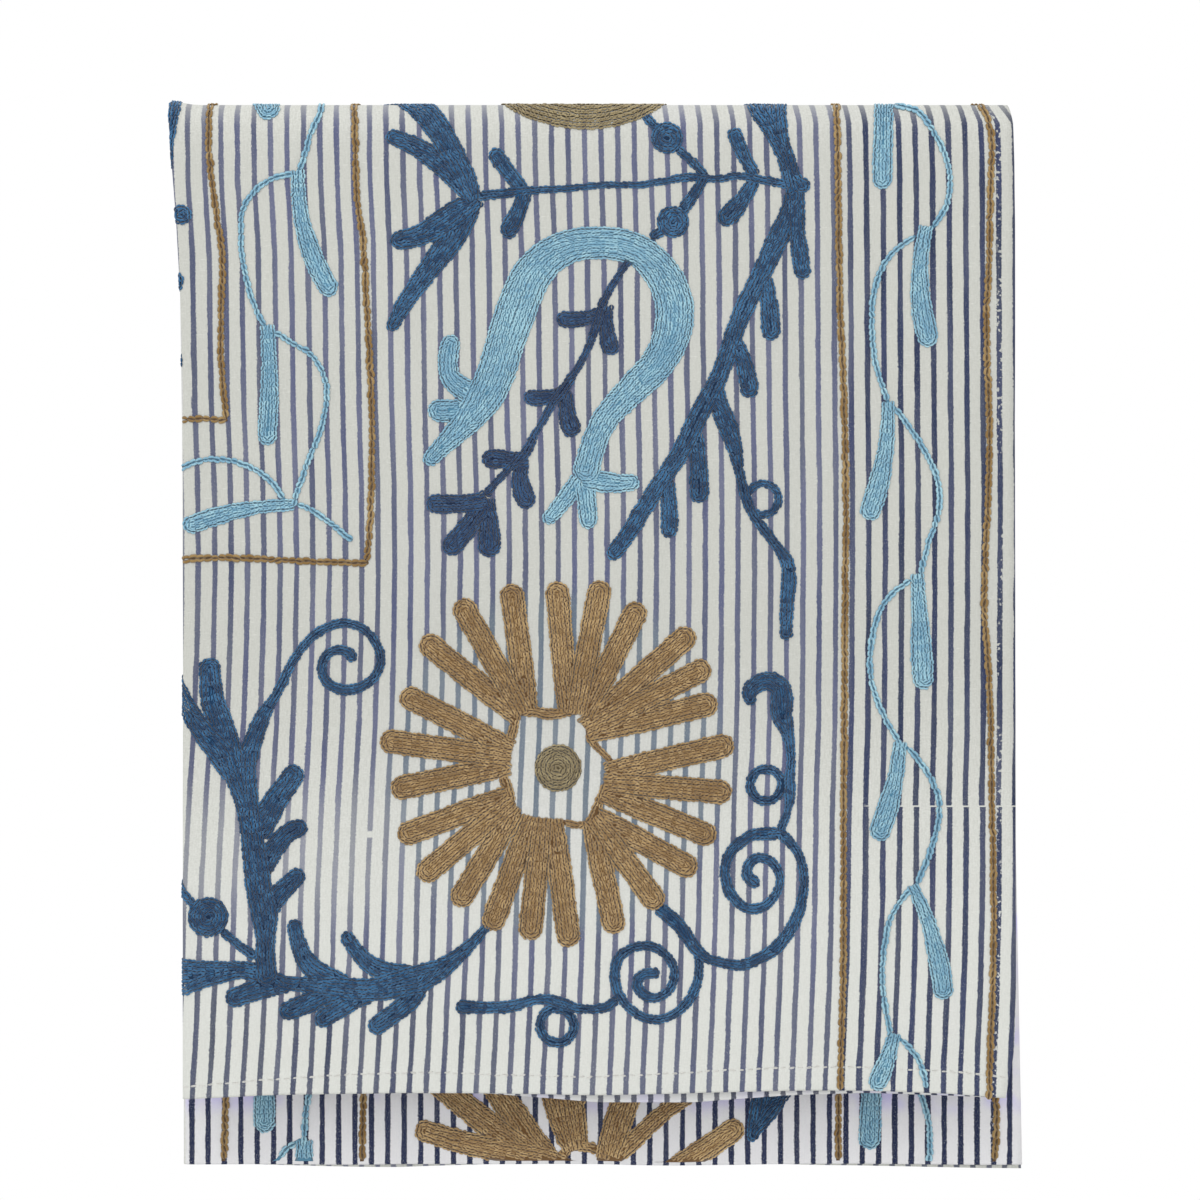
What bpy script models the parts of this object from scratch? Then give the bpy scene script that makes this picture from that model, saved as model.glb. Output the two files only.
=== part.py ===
"""A striped cotton panel, hemmed all round, folded once down its length and hung over a round rail.

The panel is one sheet. Its fold is the left edge and its two long hems lie together at the right, so each flap is
doubled: the outer layer shows, and the inner layer lies behind it, on the rail's side.
Units are metres, +Z is up and the front faces -Y. The origin is on the inside of the crown, where the rail bears.
"""

from collections import namedtuple

import bpy
import numpy as np

SHEET = 0.0015          # thickness of the cloth
HEM_SHEET = 0.0021      # thickness where it is turned under
HEM_DEPTH = 0.015
LAYER_GAP = 0.0010      # air between the two layers at the crown
HEM_GAP = 0.0022        # air between them at the hems
RAIL_RADIUS = 0.015     # of the rail that the crown is bent over
FOLD_SWELL = 0.0020     # how much further apart the layers stand beside the long fold
FOLD_REACH = 0.016      # how far from the fold that swelling is felt
FOLD_FADE = 0.12        # over what length a soft fold swells or dies away
HEM_REACH = 0.12        # how far above a hem its unevenness begins
FRONT_FALL = 0.595      # from the top of the crown down to the front hem
BACK_FALL = 0.644       # from the top of the crown down to the back hem

LAYER_COLUMNS = 20
FOLD_COLUMNS = 6
CROWN_ROWS = 10
FRONT_ROWS = 14
BACK_ROWS = 15

CROWN_RADIUS = RAIL_RADIUS + 2 * SHEET + LAYER_GAP

# Where the fold and the open edge run, by the fall below the top of the crown.
Edges = namedtuple("Edges", "fall fold open")
FRONT_EDGES = (
    Edges(0.000, -0.2582, 0.2484),
    Edges(0.013, -0.2558, 0.2503),
    Edges(0.039, -0.2547, 0.2511),
    Edges(0.073, -0.2520, 0.2514),
    Edges(0.129, -0.2490, 0.2514),
    Edges(0.192, -0.2478, 0.2512),
    Edges(0.534, -0.2478, 0.2517),
    Edges(0.568, -0.2478, 0.2505),
    Edges(0.595, -0.2478, 0.2454),
)
BACK_EDGES = (
    Edges(0.000, -0.2582, 0.2484),
    Edges(0.013, -0.2565, 0.2500),
    Edges(0.050, -0.2550, 0.2510),
    Edges(0.200, -0.2530, 0.2530),
    Edges(0.450, -0.2520, 0.2560),
    Edges(0.644, -0.2520, 0.2598),
)

# How much longer each layer hangs than the flap's fall, by the place across it.
Hem = namedtuple("Hem", "across outer inner")
FRONT_HEM = (
    Hem(-0.248, 0.0035, 0.0035),
    Hem(-0.199, 0.0014, 0.0014),
    Hem(-0.113, 0.0002, 0.0002),
    Hem(-0.070, 0.0008, 0.0012),
    Hem(0.000, 0.0012, 0.0060),
    Hem(0.060, 0.0000, 0.0062),
    Hem(0.114, -0.0010, 0.0025),
    Hem(0.164, -0.0010, 0.0010),
    Hem(0.212, 0.0002, 0.0020),
    Hem(0.246, 0.0032, 0.0034),
)
BACK_HEM = (
    Hem(-0.252, 0.0000, 0.0000),
    Hem(-0.120, 0.0022, -0.0004),
    Hem(0.020, -0.0016, 0.0006),
    Hem(0.140, 0.0012, -0.0004),
    Hem(0.260, 0.0030, 0.0000),
)

# Soft folds: where each starts, how it leans, how wide it is and how far it stands out (troughs are negative).
Fold = namedtuple("Fold", "across lean start end width height")
FRONT_FOLDS = (
    Fold(-0.212, 0.10, 0.016, 0.310, 0.018, 0.0034),
    Fold(-0.176, 0.12, 0.016, 0.250, 0.016, -0.0022),
    Fold(-0.132, 0.06, 0.016, 0.400, 0.024, 0.0026),
    Fold(-0.215, -0.04, 0.300, 0.700, 0.032, 0.0030),
    Fold(-0.070, 0.03, 0.220, 0.700, 0.040, -0.0028),
    Fold(0.035, -0.04, 0.120, 0.700, 0.045, 0.0032),
    Fold(0.130, 0.02, 0.060, 0.700, 0.034, -0.0024),
    Fold(0.215, 0.01, 0.040, 0.700, 0.034, 0.0028),
)
BACK_FOLDS = (
    Fold(-0.205, 0.05, 0.016, 0.420, 0.026, 0.0036),
    Fold(-0.120, -0.05, 0.030, 0.800, 0.036, -0.0028),
    Fold(-0.030, 0.04, 0.100, 0.800, 0.044, 0.0038),
    Fold(0.070, -0.03, 0.050, 0.800, 0.034, -0.0026),
    Fold(0.160, 0.05, 0.020, 0.560, 0.032, 0.0034),
    Fold(0.225, 0.02, 0.250, 0.800, 0.030, -0.0022),
)


def smooth(t):
    """0 before 0, 1 after 1, with an even slope at both ends."""
    t = np.clip(t, 0.0, 1.0)
    return t * t * (3 - 2 * t)


def column(table, name):
    return np.array([getattr(row, name) for row in table])


def fold_height(folds, x, fall):
    """The sum of the soft folds: each is a bell across, and swells and fades along its own length."""
    height = np.zeros_like(x)
    for fold in folds:
        centre = fold.across + fold.lean * (fall - fold.start)
        along = smooth((fall - fold.start) / FOLD_FADE) * smooth((fold.end - fall) / FOLD_FADE)
        height += fold.height * along * np.exp(-(((x - centre) / fold.width) ** 2))
    return height


def flap_rows(side, fall, radius, rows):
    """Turns and depths of one flap's rows, from below the crown down to the hem, with a row at the hem's seam."""
    length = fall - radius
    depths = np.append(np.linspace(0, length - HEM_DEPTH, rows + 1)[1:], length)
    return [(side * np.pi / 2, depth) for depth in depths]


def hung_rows():
    """(turn about the rail, depth below it) of every row, from the back hem over the crown to the front hem."""
    back = flap_rows(-1, BACK_FALL, CROWN_RADIUS, BACK_ROWS)
    front = flap_rows(1, FRONT_FALL, CROWN_RADIUS, FRONT_ROWS)
    crown = [(turn, 0.0) for turn in np.linspace(-np.pi / 2, np.pi / 2, CROWN_ROWS + 1)]
    return back[::-1] + crown + front


def section(fold, open_edge, gap, sheet):
    """The doubled layer cut across: out to the fold on the outer layer, round it, and back on the inner layer.

    Gives x and the height above the rail's surface for both faces of the sheet, and how far each point belongs
    to the inner layer. The fold is a half circle, and the layers ease together beside it.
    """
    across = np.linspace(1, 0, LAYER_COLUMNS + 1)
    half_turn = (gap + sheet + FOLD_SWELL) / 2
    start = fold + half_turn + sheet / 2
    x = start + across * (open_edge - start)
    swell = FOLD_SWELL * (1 - smooth((x - start) / FOLD_REACH))
    inner_middle = np.full_like(x, sheet / 2)
    outer_middle = inner_middle + gap + sheet + swell
    turn = np.linspace(np.pi / 2, 3 * np.pi / 2, FOLD_COLUMNS + 1)[1:-1]
    centre = sheet / 2 + half_turn
    middle_x = np.concatenate([x, start + half_turn * np.cos(turn), x[::-1]])
    middle_n = np.concatenate([outer_middle, centre + half_turn * np.sin(turn), inner_middle])
    normal_x = np.concatenate([0 * x, np.cos(turn), 0 * x])
    normal_n = np.concatenate([0 * x + 1, np.sin(turn), 0 * x - 1])
    inner = np.concatenate([0 * x, np.linspace(0, 1, FOLD_COLUMNS + 1)[1:-1], 0 * x + 1])
    half = sheet / 2
    ring_x = np.concatenate([middle_x + normal_x * half, (middle_x - normal_x * half)[::-1]])
    ring_n = np.concatenate([middle_n + normal_n * half, (middle_n - normal_n * half)[::-1]])
    return ring_x, ring_n, np.concatenate([inner, inner[::-1]])


def row_points(turn, depth):
    """One closed ring of the cloth's surface, where the layers stand at this turn and depth."""
    front = turn >= 0
    edges, hem, folds = (FRONT_EDGES, FRONT_HEM, FRONT_FOLDS) if front else (BACK_EDGES, BACK_HEM, BACK_FOLDS)
    length = (FRONT_FALL if front else BACK_FALL) - CROWN_RADIUS
    fall = CROWN_RADIUS * (1 - np.cos(turn)) + depth
    fold_edge = np.interp(fall, column(edges, "fall"), column(edges, "fold"))
    open_edge = np.interp(fall, column(edges, "fall"), column(edges, "open"))
    gap = LAYER_GAP + (HEM_GAP - LAYER_GAP) * smooth(depth / length)
    sheet = HEM_SHEET if depth >= length - HEM_DEPTH / 2 else SHEET
    x, n, inner = section(fold_edge, open_edge, gap, sheet)
    outer_hem = np.interp(x, column(hem, "across"), column(hem, "outer"))
    inner_hem = np.interp(x, column(hem, "across"), column(hem, "inner"))
    longer = (outer_hem + inner * (inner_hem - outer_hem)) * smooth(1 - (length - depth) / HEM_REACH)
    radius = RAIL_RADIUS + n + fold_height(folds, x, fall)
    y = -radius * np.sin(turn)
    z = -RAIL_RADIUS + radius * np.cos(turn) - depth - longer
    return np.stack([x, y, z], axis=1)


def cloth_mesh():
    """Joins the rings into one closed skin. Both layers are split along the same diagonals, so they stay apart."""
    rings = np.array([row_points(turn, depth) for turn, depth in hung_rows()])
    rows, around = rings.shape[:2]
    half = around // 2
    faces = []
    for row in range(rows - 1):
        for step in range(around):
            a, b = row * around + step, row * around + (step + 1) % around
            c, d = a + around, b + around
            along = step % half if step < half else around - 2 - step
            outer_layer = along < (half - 1) / 2
            forward = (step < half) == outer_layer
            faces += [(a, b, d), (a, d, c)] if forward else [(a, b, c), (b, d, c)]
    for row, flip in ((0, True), (rows - 1, False)):
        for step in range(half - 1):
            a, b = row * around + step, row * around + step + 1
            d, c = row * around + around - 1 - step, row * around + around - 2 - step
            quad = (a, b, c, d)
            faces.append(quad[::-1] if flip else quad)
    mesh = bpy.data.meshes.new("cloth")
    mesh.from_pydata(rings.reshape(-1, 3).tolist(), [], faces)
    mesh.validate()
    return mesh


def cotton():
    material = bpy.data.materials.new("cotton")
    material.use_nodes = True
    shader = material.node_tree.nodes["Principled BSDF"]
    shader.inputs["Base Color"].default_value = (0.72, 0.71, 0.66, 1)
    shader.inputs["Roughness"].default_value = 0.9
    shader.inputs["Metallic"].default_value = 0.0
    return material


def signed_volume(mesh):
    """Six times the volume, negative where the faces point inwards."""
    total = 0.0
    for face in mesh.polygons:
        corners = [mesh.vertices[i].co for i in face.vertices]
        for second, third in zip(corners[1:], corners[2:]):
            total += corners[0].dot(second.cross(third))
    return total


for old in list(bpy.data.objects):
    bpy.data.objects.remove(old)

cloth = bpy.data.objects.new("cloth", cloth_mesh())
bpy.context.scene.collection.objects.link(cloth)
if signed_volume(cloth.data) < 0:
    cloth.data.flip_normals()
cloth.data.shade_smooth()
cloth.data.materials.append(cotton())
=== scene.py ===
"""The looks of a chain-stitched panel of striped cotton, folded down its length and hung over an unseen rail.

Everything is in metres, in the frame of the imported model: +Z up, the front flap faces -Y, and the origin is
on the inside of the crown. Places on the cloth are (across, run): across is X, and run is the way along the
cloth from the top of the crown, down the front flap, or down the back flap where it is negative.
"""

from collections import namedtuple

import bpy
import numpy as np
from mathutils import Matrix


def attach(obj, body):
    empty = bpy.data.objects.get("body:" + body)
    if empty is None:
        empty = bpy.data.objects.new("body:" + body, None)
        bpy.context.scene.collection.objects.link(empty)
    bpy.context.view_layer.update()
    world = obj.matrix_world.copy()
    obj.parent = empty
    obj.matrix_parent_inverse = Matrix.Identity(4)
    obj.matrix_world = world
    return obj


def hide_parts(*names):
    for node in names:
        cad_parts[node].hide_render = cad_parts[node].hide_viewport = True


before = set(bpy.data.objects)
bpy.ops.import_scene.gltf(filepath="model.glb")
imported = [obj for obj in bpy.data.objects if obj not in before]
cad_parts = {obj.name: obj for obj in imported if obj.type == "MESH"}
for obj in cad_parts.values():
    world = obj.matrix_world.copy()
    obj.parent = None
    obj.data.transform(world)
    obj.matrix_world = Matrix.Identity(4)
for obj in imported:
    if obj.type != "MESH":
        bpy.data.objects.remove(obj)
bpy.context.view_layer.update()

# The cloth: one panel of white cotton printed with blue stripes, hemmed at both ends, folded in two down its
# length and hung over a round rail. It is a thin sheet on the folds of the solid that it replaces.
RAIL_RADIUS = 0.015
CROWN_RADIUS = 0.019
LAYERS_DEEP = 0.0040      # from the rail to the outer face, at the crown
LAYERS_DEEP_HEM = 0.0052  # the same at the hems, where the layers hang looser
FOLD_SWELL = 0.0020       # how much further apart the layers stand beside the long fold
FOLD_REACH = 0.016        # how far from the fold that is felt
SHEET = 0.0009
FRONT_FALL = 0.595        # from the top of the crown down to the front hem
BACK_FALL = 0.644
HEM_DEPTH = 0.015
HEM_RISE = 0.0005         # how much thicker the cloth is where it is turned under
HEM_EASE = 0.002          # over what length it thickens
FOLD_FADE = 0.12          # over what length a soft fold swells or dies away
HEM_REACH = 0.12          # how far above a hem its unevenness begins
QUARTER = CROWN_RADIUS * np.pi / 2


def table(kind, *rows):
    """Rows of one kind, which names their columns."""
    return tuple(kind(*row) for row in rows)


Edges = namedtuple("Edges", "fall fold open")
FRONT_EDGES = table(
    Edges,
    (0.000, -0.2582, 0.2484), (0.013, -0.2558, 0.2503), (0.039, -0.2547, 0.2511), (0.073, -0.2520, 0.2514),
    (0.129, -0.2490, 0.2514), (0.192, -0.2478, 0.2512), (0.534, -0.2478, 0.2517), (0.568, -0.2478, 0.2505),
    (0.595, -0.2478, 0.2454),
)
BACK_EDGES = table(
    Edges,
    (0.000, -0.2582, 0.2484), (0.013, -0.2565, 0.2500), (0.050, -0.2550, 0.2510), (0.200, -0.2530, 0.2530),
    (0.450, -0.2520, 0.2560), (0.644, -0.2520, 0.2598),
)
Hem = namedtuple("Hem", "across outer inner")
FRONT_HEM = table(
    Hem,
    (-0.248, 0.0035, 0.0035), (-0.199, 0.0014, 0.0014), (-0.113, 0.0002, 0.0002), (-0.070, 0.0008, 0.0012),
    (0.000, 0.0012, 0.0060), (0.060, 0.0000, 0.0062), (0.114, -0.0010, 0.0025), (0.164, -0.0010, 0.0010),
    (0.212, 0.0002, 0.0020), (0.246, 0.0032, 0.0034),
)
BACK_HEM = table(
    Hem,
    (-0.252, 0.0000, 0.0000), (-0.120, 0.0022, -0.0004), (0.020, -0.0016, 0.0006), (0.140, 0.0012, -0.0004),
    (0.260, 0.0030, 0.0000),
)
Fold = namedtuple("Fold", "across lean start end width height")
FRONT_FOLDS = table(
    Fold,
    (-0.212, 0.10, 0.016, 0.310, 0.018, 0.0034),
    (-0.176, 0.12, 0.016, 0.250, 0.016, -0.0022),
    (-0.132, 0.06, 0.016, 0.400, 0.024, 0.0026),
    (-0.215, -0.04, 0.300, 0.700, 0.032, 0.0030),
    (-0.070, 0.03, 0.220, 0.700, 0.040, -0.0028),
    (0.035, -0.04, 0.120, 0.700, 0.045, 0.0032),
    (0.130, 0.02, 0.060, 0.700, 0.034, -0.0024),
    (0.215, 0.01, 0.040, 0.700, 0.034, 0.0028),
)
BACK_FOLDS = table(
    Fold,
    (-0.205, 0.05, 0.016, 0.420, 0.026, 0.0036),
    (-0.120, -0.05, 0.030, 0.800, 0.036, -0.0028),
    (-0.030, 0.04, 0.100, 0.800, 0.044, 0.0038),
    (0.070, -0.03, 0.050, 0.800, 0.034, -0.0026),
    (0.160, 0.05, 0.020, 0.560, 0.032, 0.0034),
    (0.225, 0.02, 0.250, 0.800, 0.030, -0.0022),
)


def smooth(t):
    """0 before 0, 1 after 1, with an even slope at both ends."""
    t = np.clip(t, 0.0, 1.0)
    return t * t * (3 - 2 * t)


def read(rows, place, name):
    """A column of a table between its rows, by the table's first column."""
    return np.interp(place, [row[0] for row in rows], [getattr(row, name) for row in rows])


def depth_of(run):
    """How far down its flap a place is, below the crown's arc."""
    return np.maximum(np.abs(run) - QUARTER, 0)


def length_of(run):
    """The straight length of the flap that a place is on."""
    return np.where(run >= 0, FRONT_FALL, BACK_FALL) - CROWN_RADIUS


def fall_of(run):
    """How far below the top of the crown a place hangs: round the crown's arc, then straight down."""
    turn = np.minimum(np.abs(run) / CROWN_RADIUS, np.pi / 2)
    return CROWN_RADIUS * (1 - np.cos(turn)) + depth_of(run)


def edge_of(run, name):
    """Where the long fold or the open edge runs, on the flap that a place is on."""
    fall = fall_of(run)
    return np.where(run >= 0, read(FRONT_EDGES, fall, name), read(BACK_EDGES, fall, name))


def fold_height(folds, x, fall):
    """The sum of the soft folds: each is a bell across, and swells and fades along its own length."""
    height = np.zeros_like(x)
    for fold in folds:
        centre = fold.across + fold.lean * (fall - fold.start)
        along = smooth((fall - fold.start) / FOLD_FADE) * smooth((fold.end - fall) / FOLD_FADE)
        height += fold.height * along * np.exp(-(((x - centre) / fold.width) ** 2))
    return height


Wave = namedtuple("Wave", "across run shift")
RIPPLES = (
    (1.0, Wave(95, 31, 0.0), Wave(-22, 60, 1.0)),
    (0.6, Wave(170, -40, 2.0), Wave(35, 88, 0.0)),
)
RIPPLE_HEIGHT = 0.00035
RIPPLE_REACH = 0.03       # how far below the crown the ripple is full


def ripple(x, run):
    """The cloth's small unevenness: pairs of slow waves that cross each other, dying away on the crown."""
    waves = 0
    for share, *pair in RIPPLES:
        first, second = (np.sin(wave.across * x + wave.run * run + wave.shift) for wave in pair)
        waves = waves + share * first * second
    return RIPPLE_HEIGHT * waves * smooth(depth_of(run) / RIPPLE_REACH)


def outer_face(x, run):
    """Height of the outer layer's right side above the rail: deeper at the hems and beside the fold."""
    depth, length = depth_of(run), length_of(run)
    swell = FOLD_SWELL * (1 - smooth((x - edge_of(run, "fold") - FOLD_SWELL) / FOLD_REACH))
    hem = HEM_RISE * smooth((depth - length + HEM_DEPTH) / HEM_EASE)
    return LAYERS_DEEP + (LAYERS_DEEP_HEM - LAYERS_DEEP) * smooth(depth / length) + swell + hem


def hang(x, run, height, inner):
    """Points of the hung cloth: height stands off the rail's surface, and inner is 1 on the inner layer."""
    turn = np.clip(run / CROWN_RADIUS, -np.pi / 2, np.pi / 2)
    depth, fall = depth_of(run), fall_of(run)
    longer = []
    for hem in (FRONT_HEM, BACK_HEM):
        outer_hem, inner_hem = read(hem, x, "outer"), read(hem, x, "inner")
        longer.append(outer_hem + inner * (inner_hem - outer_hem))
    drop = depth + np.where(run >= 0, *longer) * smooth(1 - (length_of(run) - depth) / HEM_REACH)
    folds = np.where(run >= 0, fold_height(FRONT_FOLDS, x, fall), fold_height(BACK_FOLDS, x, fall))
    radius = RAIL_RADIUS + height + folds + ripple(x, run)
    return np.stack([x, -radius * np.sin(turn), -RAIL_RADIUS + radius * np.cos(turn) - drop], axis=-1)


STRIPE_PITCH = 0.00983
STRIPE_PHASE = 0.2508     # the across of one stripe on the front flap, beside the open edge
BAND_PHASE = 0.2522       # the same on the back flap's inner layer
Drift = namedtuple("Drift", "fall fold open")
DRIFTS = table(
    Drift,
    (0.000, -0.0048, -0.0022), (0.013, -0.0044, 0.0000), (0.048, -0.0040, 0.0008), (0.092, -0.0012, 0.0006),
    (0.180, 0.0000, 0.0009), (0.230, 0.0018, 0.0014), (0.278, 0.0024, 0.0012), (0.326, 0.0016, 0.0010),
    (0.374, -0.0001, 0.0010), (0.422, -0.0030, 0.0000), (0.470, -0.0056, 0.0000), (0.518, -0.0069, -0.0009),
    (0.566, -0.0091, -0.0027), (0.590, -0.0108, -0.0036),
)


PRINT_LEFT = -0.245
PRINT_WIDTH = 0.49
CROWN_LEAN = -0.0044      # the stripes lean this much at the open edge, on the crown
CROWN_LEAN_FROM = 0.215
CROWN_LEAN_REACH = 0.03
CROWN_LEAN_FALL = 0.016
BACK_EASE = 0.2           # the drift eases down the back flap, where a slow sway takes its place
BACK_SWAY = 0.002
BACK_SWAYS = 9
BAND_STRETCH = 1.015      # the stripes lie this much further apart on the back flap's inner layer


def print_place(x, run, inner):
    """The place across at which the stripes were printed: the weave has drifted, most at the fold."""
    fall = fall_of(run)
    open_share = np.clip((x - PRINT_LEFT) / PRINT_WIDTH, 0, 1)
    front_drift = read(DRIFTS, fall, "fold") * (1 - open_share) + read(DRIFTS, fall, "open") * open_share
    on_crown = 1 - smooth(fall / CROWN_LEAN_FALL)
    lean = CROWN_LEAN * smooth((x - CROWN_LEAN_FROM) / CROWN_LEAN_REACH) * on_crown
    eased = read(DRIFTS, 0.0, "fold") * (1 - open_share) * (1 - smooth(fall / BACK_EASE))
    back_drift = eased + BACK_SWAY * np.sin(BACK_SWAYS * fall)
    outer = x - np.where(run >= 0, front_drift + lean, back_drift) - STRIPE_PHASE
    return np.where(inner > 0.5, (x - BAND_PHASE) / BAND_STRETCH, outer)


ROW = 0.006               # between the rows of the cloth's grid, on the flaps
CROWN_ROWS = 20
HEM_START = 0.016
HEM_ROWS = (0.0145, 0.0130, 0.0015, 0.0)
LAYER_COLUMNS = 91
TURN_COLUMNS = 10
MAP_SHIFT = 0.009         # what the fold's arc takes up of the flat map


def even_runs():
    """Rows of the cloth's grid: even on the flaps, closer round the crown and at the hems."""
    flaps = []
    for fall in (BACK_FALL, FRONT_FALL):
        end = QUARTER + fall - CROWN_RADIUS
        flaps.append(np.append(np.arange(QUARTER + ROW, end - HEM_START, ROW), end - np.array(HEM_ROWS)))
    return np.concatenate([-flaps[0][::-1], np.linspace(-QUARTER, QUARTER, CROWN_ROWS + 1), flaps[1]])


def cloth_grid():
    """Both faces of the doubled sheet: out on the outer layer, round the long fold, back on the inner one."""
    run = even_runs()[:, None]
    fold, open_edge = edge_of(run, "fold"), edge_of(run, "open")
    deep = outer_face(fold, run)
    start = fold + deep / 2
    across = np.linspace(1, 0, LAYER_COLUMNS + 1)[None, :]
    x = start + across * (open_edge - start)
    turn = np.linspace(np.pi / 2, 3 * np.pi / 2, TURN_COLUMNS + 1)[None, 1:-1]
    turned = (turn - np.pi / 2) / np.pi
    faces = []
    for inset in (0.0, SHEET):
        bend = deep / 2 - inset
        outer = outer_face(x, run) - inset
        ring_x = np.concatenate([x, start + bend * np.cos(turn), x[:, ::-1]], axis=1)
        height = np.concatenate([outer, deep / 2 + bend * np.sin(turn), np.full_like(x, inset)], axis=1)
        inner = np.concatenate([0 * x, 0 * start + turned, 0 * x + 1], axis=1)
        round_fold, back = -deep / 2 * (turn - np.pi / 2), (start - x)[:, ::-1] - MAP_SHIFT
        spread = np.concatenate([x - start, round_fold, back], axis=1)
        runs = run + 0 * ring_x
        printed = print_place(ring_x, runs, inner)
        faces.append((hang(ring_x, runs, height, inner), printed, spread, runs, inner))
    return faces


def flat_mesh(name, points, triangles):
    """A mesh of triangles from arrays of points and corners, shaded smooth."""
    mesh = bpy.data.meshes.new(name)
    mesh.vertices.add(len(points))
    mesh.vertices.foreach_set("co", np.ascontiguousarray(points, np.float32).ravel())
    mesh.loops.add(triangles.size)
    mesh.loops.foreach_set("vertex_index", np.ascontiguousarray(triangles, np.int32).ravel())
    mesh.polygons.add(len(triangles))
    mesh.polygons.foreach_set("loop_start", np.arange(0, triangles.size, 3, dtype=np.int32))
    mesh.update(calc_edges=True)
    mesh.shade_smooth()
    return mesh


def add_values(mesh, name, kind, values):
    """Puts an array on the mesh as an attribute of its points."""
    layer = mesh.attributes.new(name, kind, "POINT")
    field = "value" if kind == "FLOAT" else "vector"
    layer.data.foreach_set(field, np.ascontiguousarray(values, np.float32).ravel())


MAP_ACROSS = 0.53         # half the width of the cloth, laid flat for its bake map
MAP_BACK = 0.68           # from the crown to the map's lower edge
MAP_LENGTH = 1.34
MAP_RIM = 0.0015          # the width of the sheet's thin edges on the map


def in_scene(name, data):
    """A new object in the scene, at the origin."""
    made = bpy.data.objects.new(name, data)
    bpy.context.scene.collection.objects.link(made)
    return made


def add_map(mesh, uv):
    mesh.uv_layers.new(name="OFBake").data.foreach_set("uv", np.ascontiguousarray(uv, np.float32).ravel())


def quads(a, b, c, d):
    """Two triangles for each four corners."""
    return np.concatenate([np.stack([a, b, c], -1).reshape(-1, 3), np.stack([a, c, d], -1).reshape(-1, 3)])


def cloth_piece():
    """Joins both faces into one closed sheet, its bake map laid flat: right side left, wrong side right."""
    (right, printed, spread, runs, inner), (wrong, wrong_printed, wrong_spread, _, _) = cloth_grid()
    near = np.arange(runs.size).reshape(runs.shape)
    far = near + runs.size
    points = np.concatenate([right.reshape(-1, 3), wrong.reshape(-1, 3)])
    face = quads(near[:-1, :-1], near[:-1, 1:], near[1:, 1:], near[1:, :-1])
    back = quads(far[:-1, :-1], far[1:, :-1], far[1:, 1:], far[:-1, 1:])
    ends = [
        quads(near[0, :-1], far[0, :-1], far[0, 1:], near[0, 1:]),
        quads(near[-1, :-1], near[-1, 1:], far[-1, 1:], far[-1, :-1]),
        quads(near[:-1, 0], near[1:, 0], far[1:, 0], far[:-1, 0]),
        quads(near[:-1, -1], far[:-1, -1], far[1:, -1], near[1:, -1]),
    ]
    triangles = np.concatenate([face, back] + ends)
    corner = points[triangles]
    volume = np.einsum("ij,ij->i", corner[:, 0], np.cross(corner[:, 1], corner[:, 2])).sum()
    if volume < 0:
        triangles = triangles[:, ::-1]
    mesh = flat_mesh("cloth_sheet", points, triangles)
    both_runs = np.append(runs, runs)
    wrong_side = np.repeat([0.0, 1.0], runs.size)
    place = np.stack([np.append(printed, wrong_printed), both_runs, wrong_side], axis=1)
    add_values(mesh, "print_at", "FLOAT_VECTOR", place)
    add_values(mesh, "inner_layer", "FLOAT", np.append(inner, inner))

    flat_x = np.append(spread, wrong_spread) + MAP_ACROSS
    flat = np.stack([0.5 * flat_x / (2 * MAP_ACROSS), (both_runs + MAP_BACK) / MAP_LENGTH], axis=1)
    corners = triangles.ravel()
    uv = flat[corners]
    owner = np.repeat(np.arange(len(triangles)), 3)
    first_end = len(face) + len(back)
    uv[(owner >= len(face)) & (owner < first_end), 0] += 0.5
    starts = first_end + np.cumsum([0] + [len(end) for end in ends])
    pushes = ((0, -MAP_RIM), (0, MAP_RIM), (MAP_RIM, 0), (-MAP_RIM, 0))
    for low, high, push in zip(starts[:-1], starts[1:], pushes):
        uv[(owner >= low) & (owner < high) & (corners >= runs.size)] += push
    add_map(mesh, uv)
    return in_scene("cloth_sheet", mesh)


class Wire:
    """An output socket of a material. Arithmetic on it adds Math nodes, and node() adds any other node."""

    def __init__(self, socket):
        self.socket = socket
        self.tree = socket.id_data

    @staticmethod
    def node(tree, kind, settings, inputs, output=0):
        made = tree.nodes.new(kind)
        for key, value in settings.items():
            setattr(made, key, value)
        for key, value in inputs.items():
            if isinstance(value, Wire):
                tree.links.new(value.socket, made.inputs[key])
            else:
                made.inputs[key].default_value = value
        return Wire(made.outputs[output])

    def math(self, operation, *others):
        inputs = dict(enumerate((self,) + others))
        return Wire.node(self.tree, "ShaderNodeMath", {"operation": operation}, inputs)

    def __add__(self, other):
        return self.math("ADD", other)

    __radd__ = __add__

    def __mul__(self, other):
        return self.math("MULTIPLY", other)

    __rmul__ = __mul__

    def __sub__(self, other):
        return self.math("SUBTRACT", other)

    def __rsub__(self, other):
        return (self * -1.0) + other

    def __truediv__(self, other):
        return self.math("DIVIDE", other)

    def step(self, low, high):
        """0 at low, 1 at high, eased between. low may be the larger of the two."""
        inputs = {"Value": self, "From Min": low, "From Max": high}
        return Wire.node(self.tree, "ShaderNodeMapRange", {"interpolation_type": "SMOOTHSTEP"}, inputs)

    def mix(self, first, second):
        """The first colour where this wire is 0, and the second where it is 1."""
        inputs = {"Factor": self, 6: first, 7: second}
        return Wire.node(self.tree, "ShaderNodeMix", {"data_type": "RGBA"}, inputs, 2)

    def noise(self, scale, detail=2.0, roughness=0.5):
        """Noise between 0 and 1 at this vector."""
        inputs = {"Vector": self, "Scale": scale, "Detail": detail, "Roughness": roughness}
        return Wire.node(self.tree, "ShaderNodeTexNoise", {}, inputs)


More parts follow.
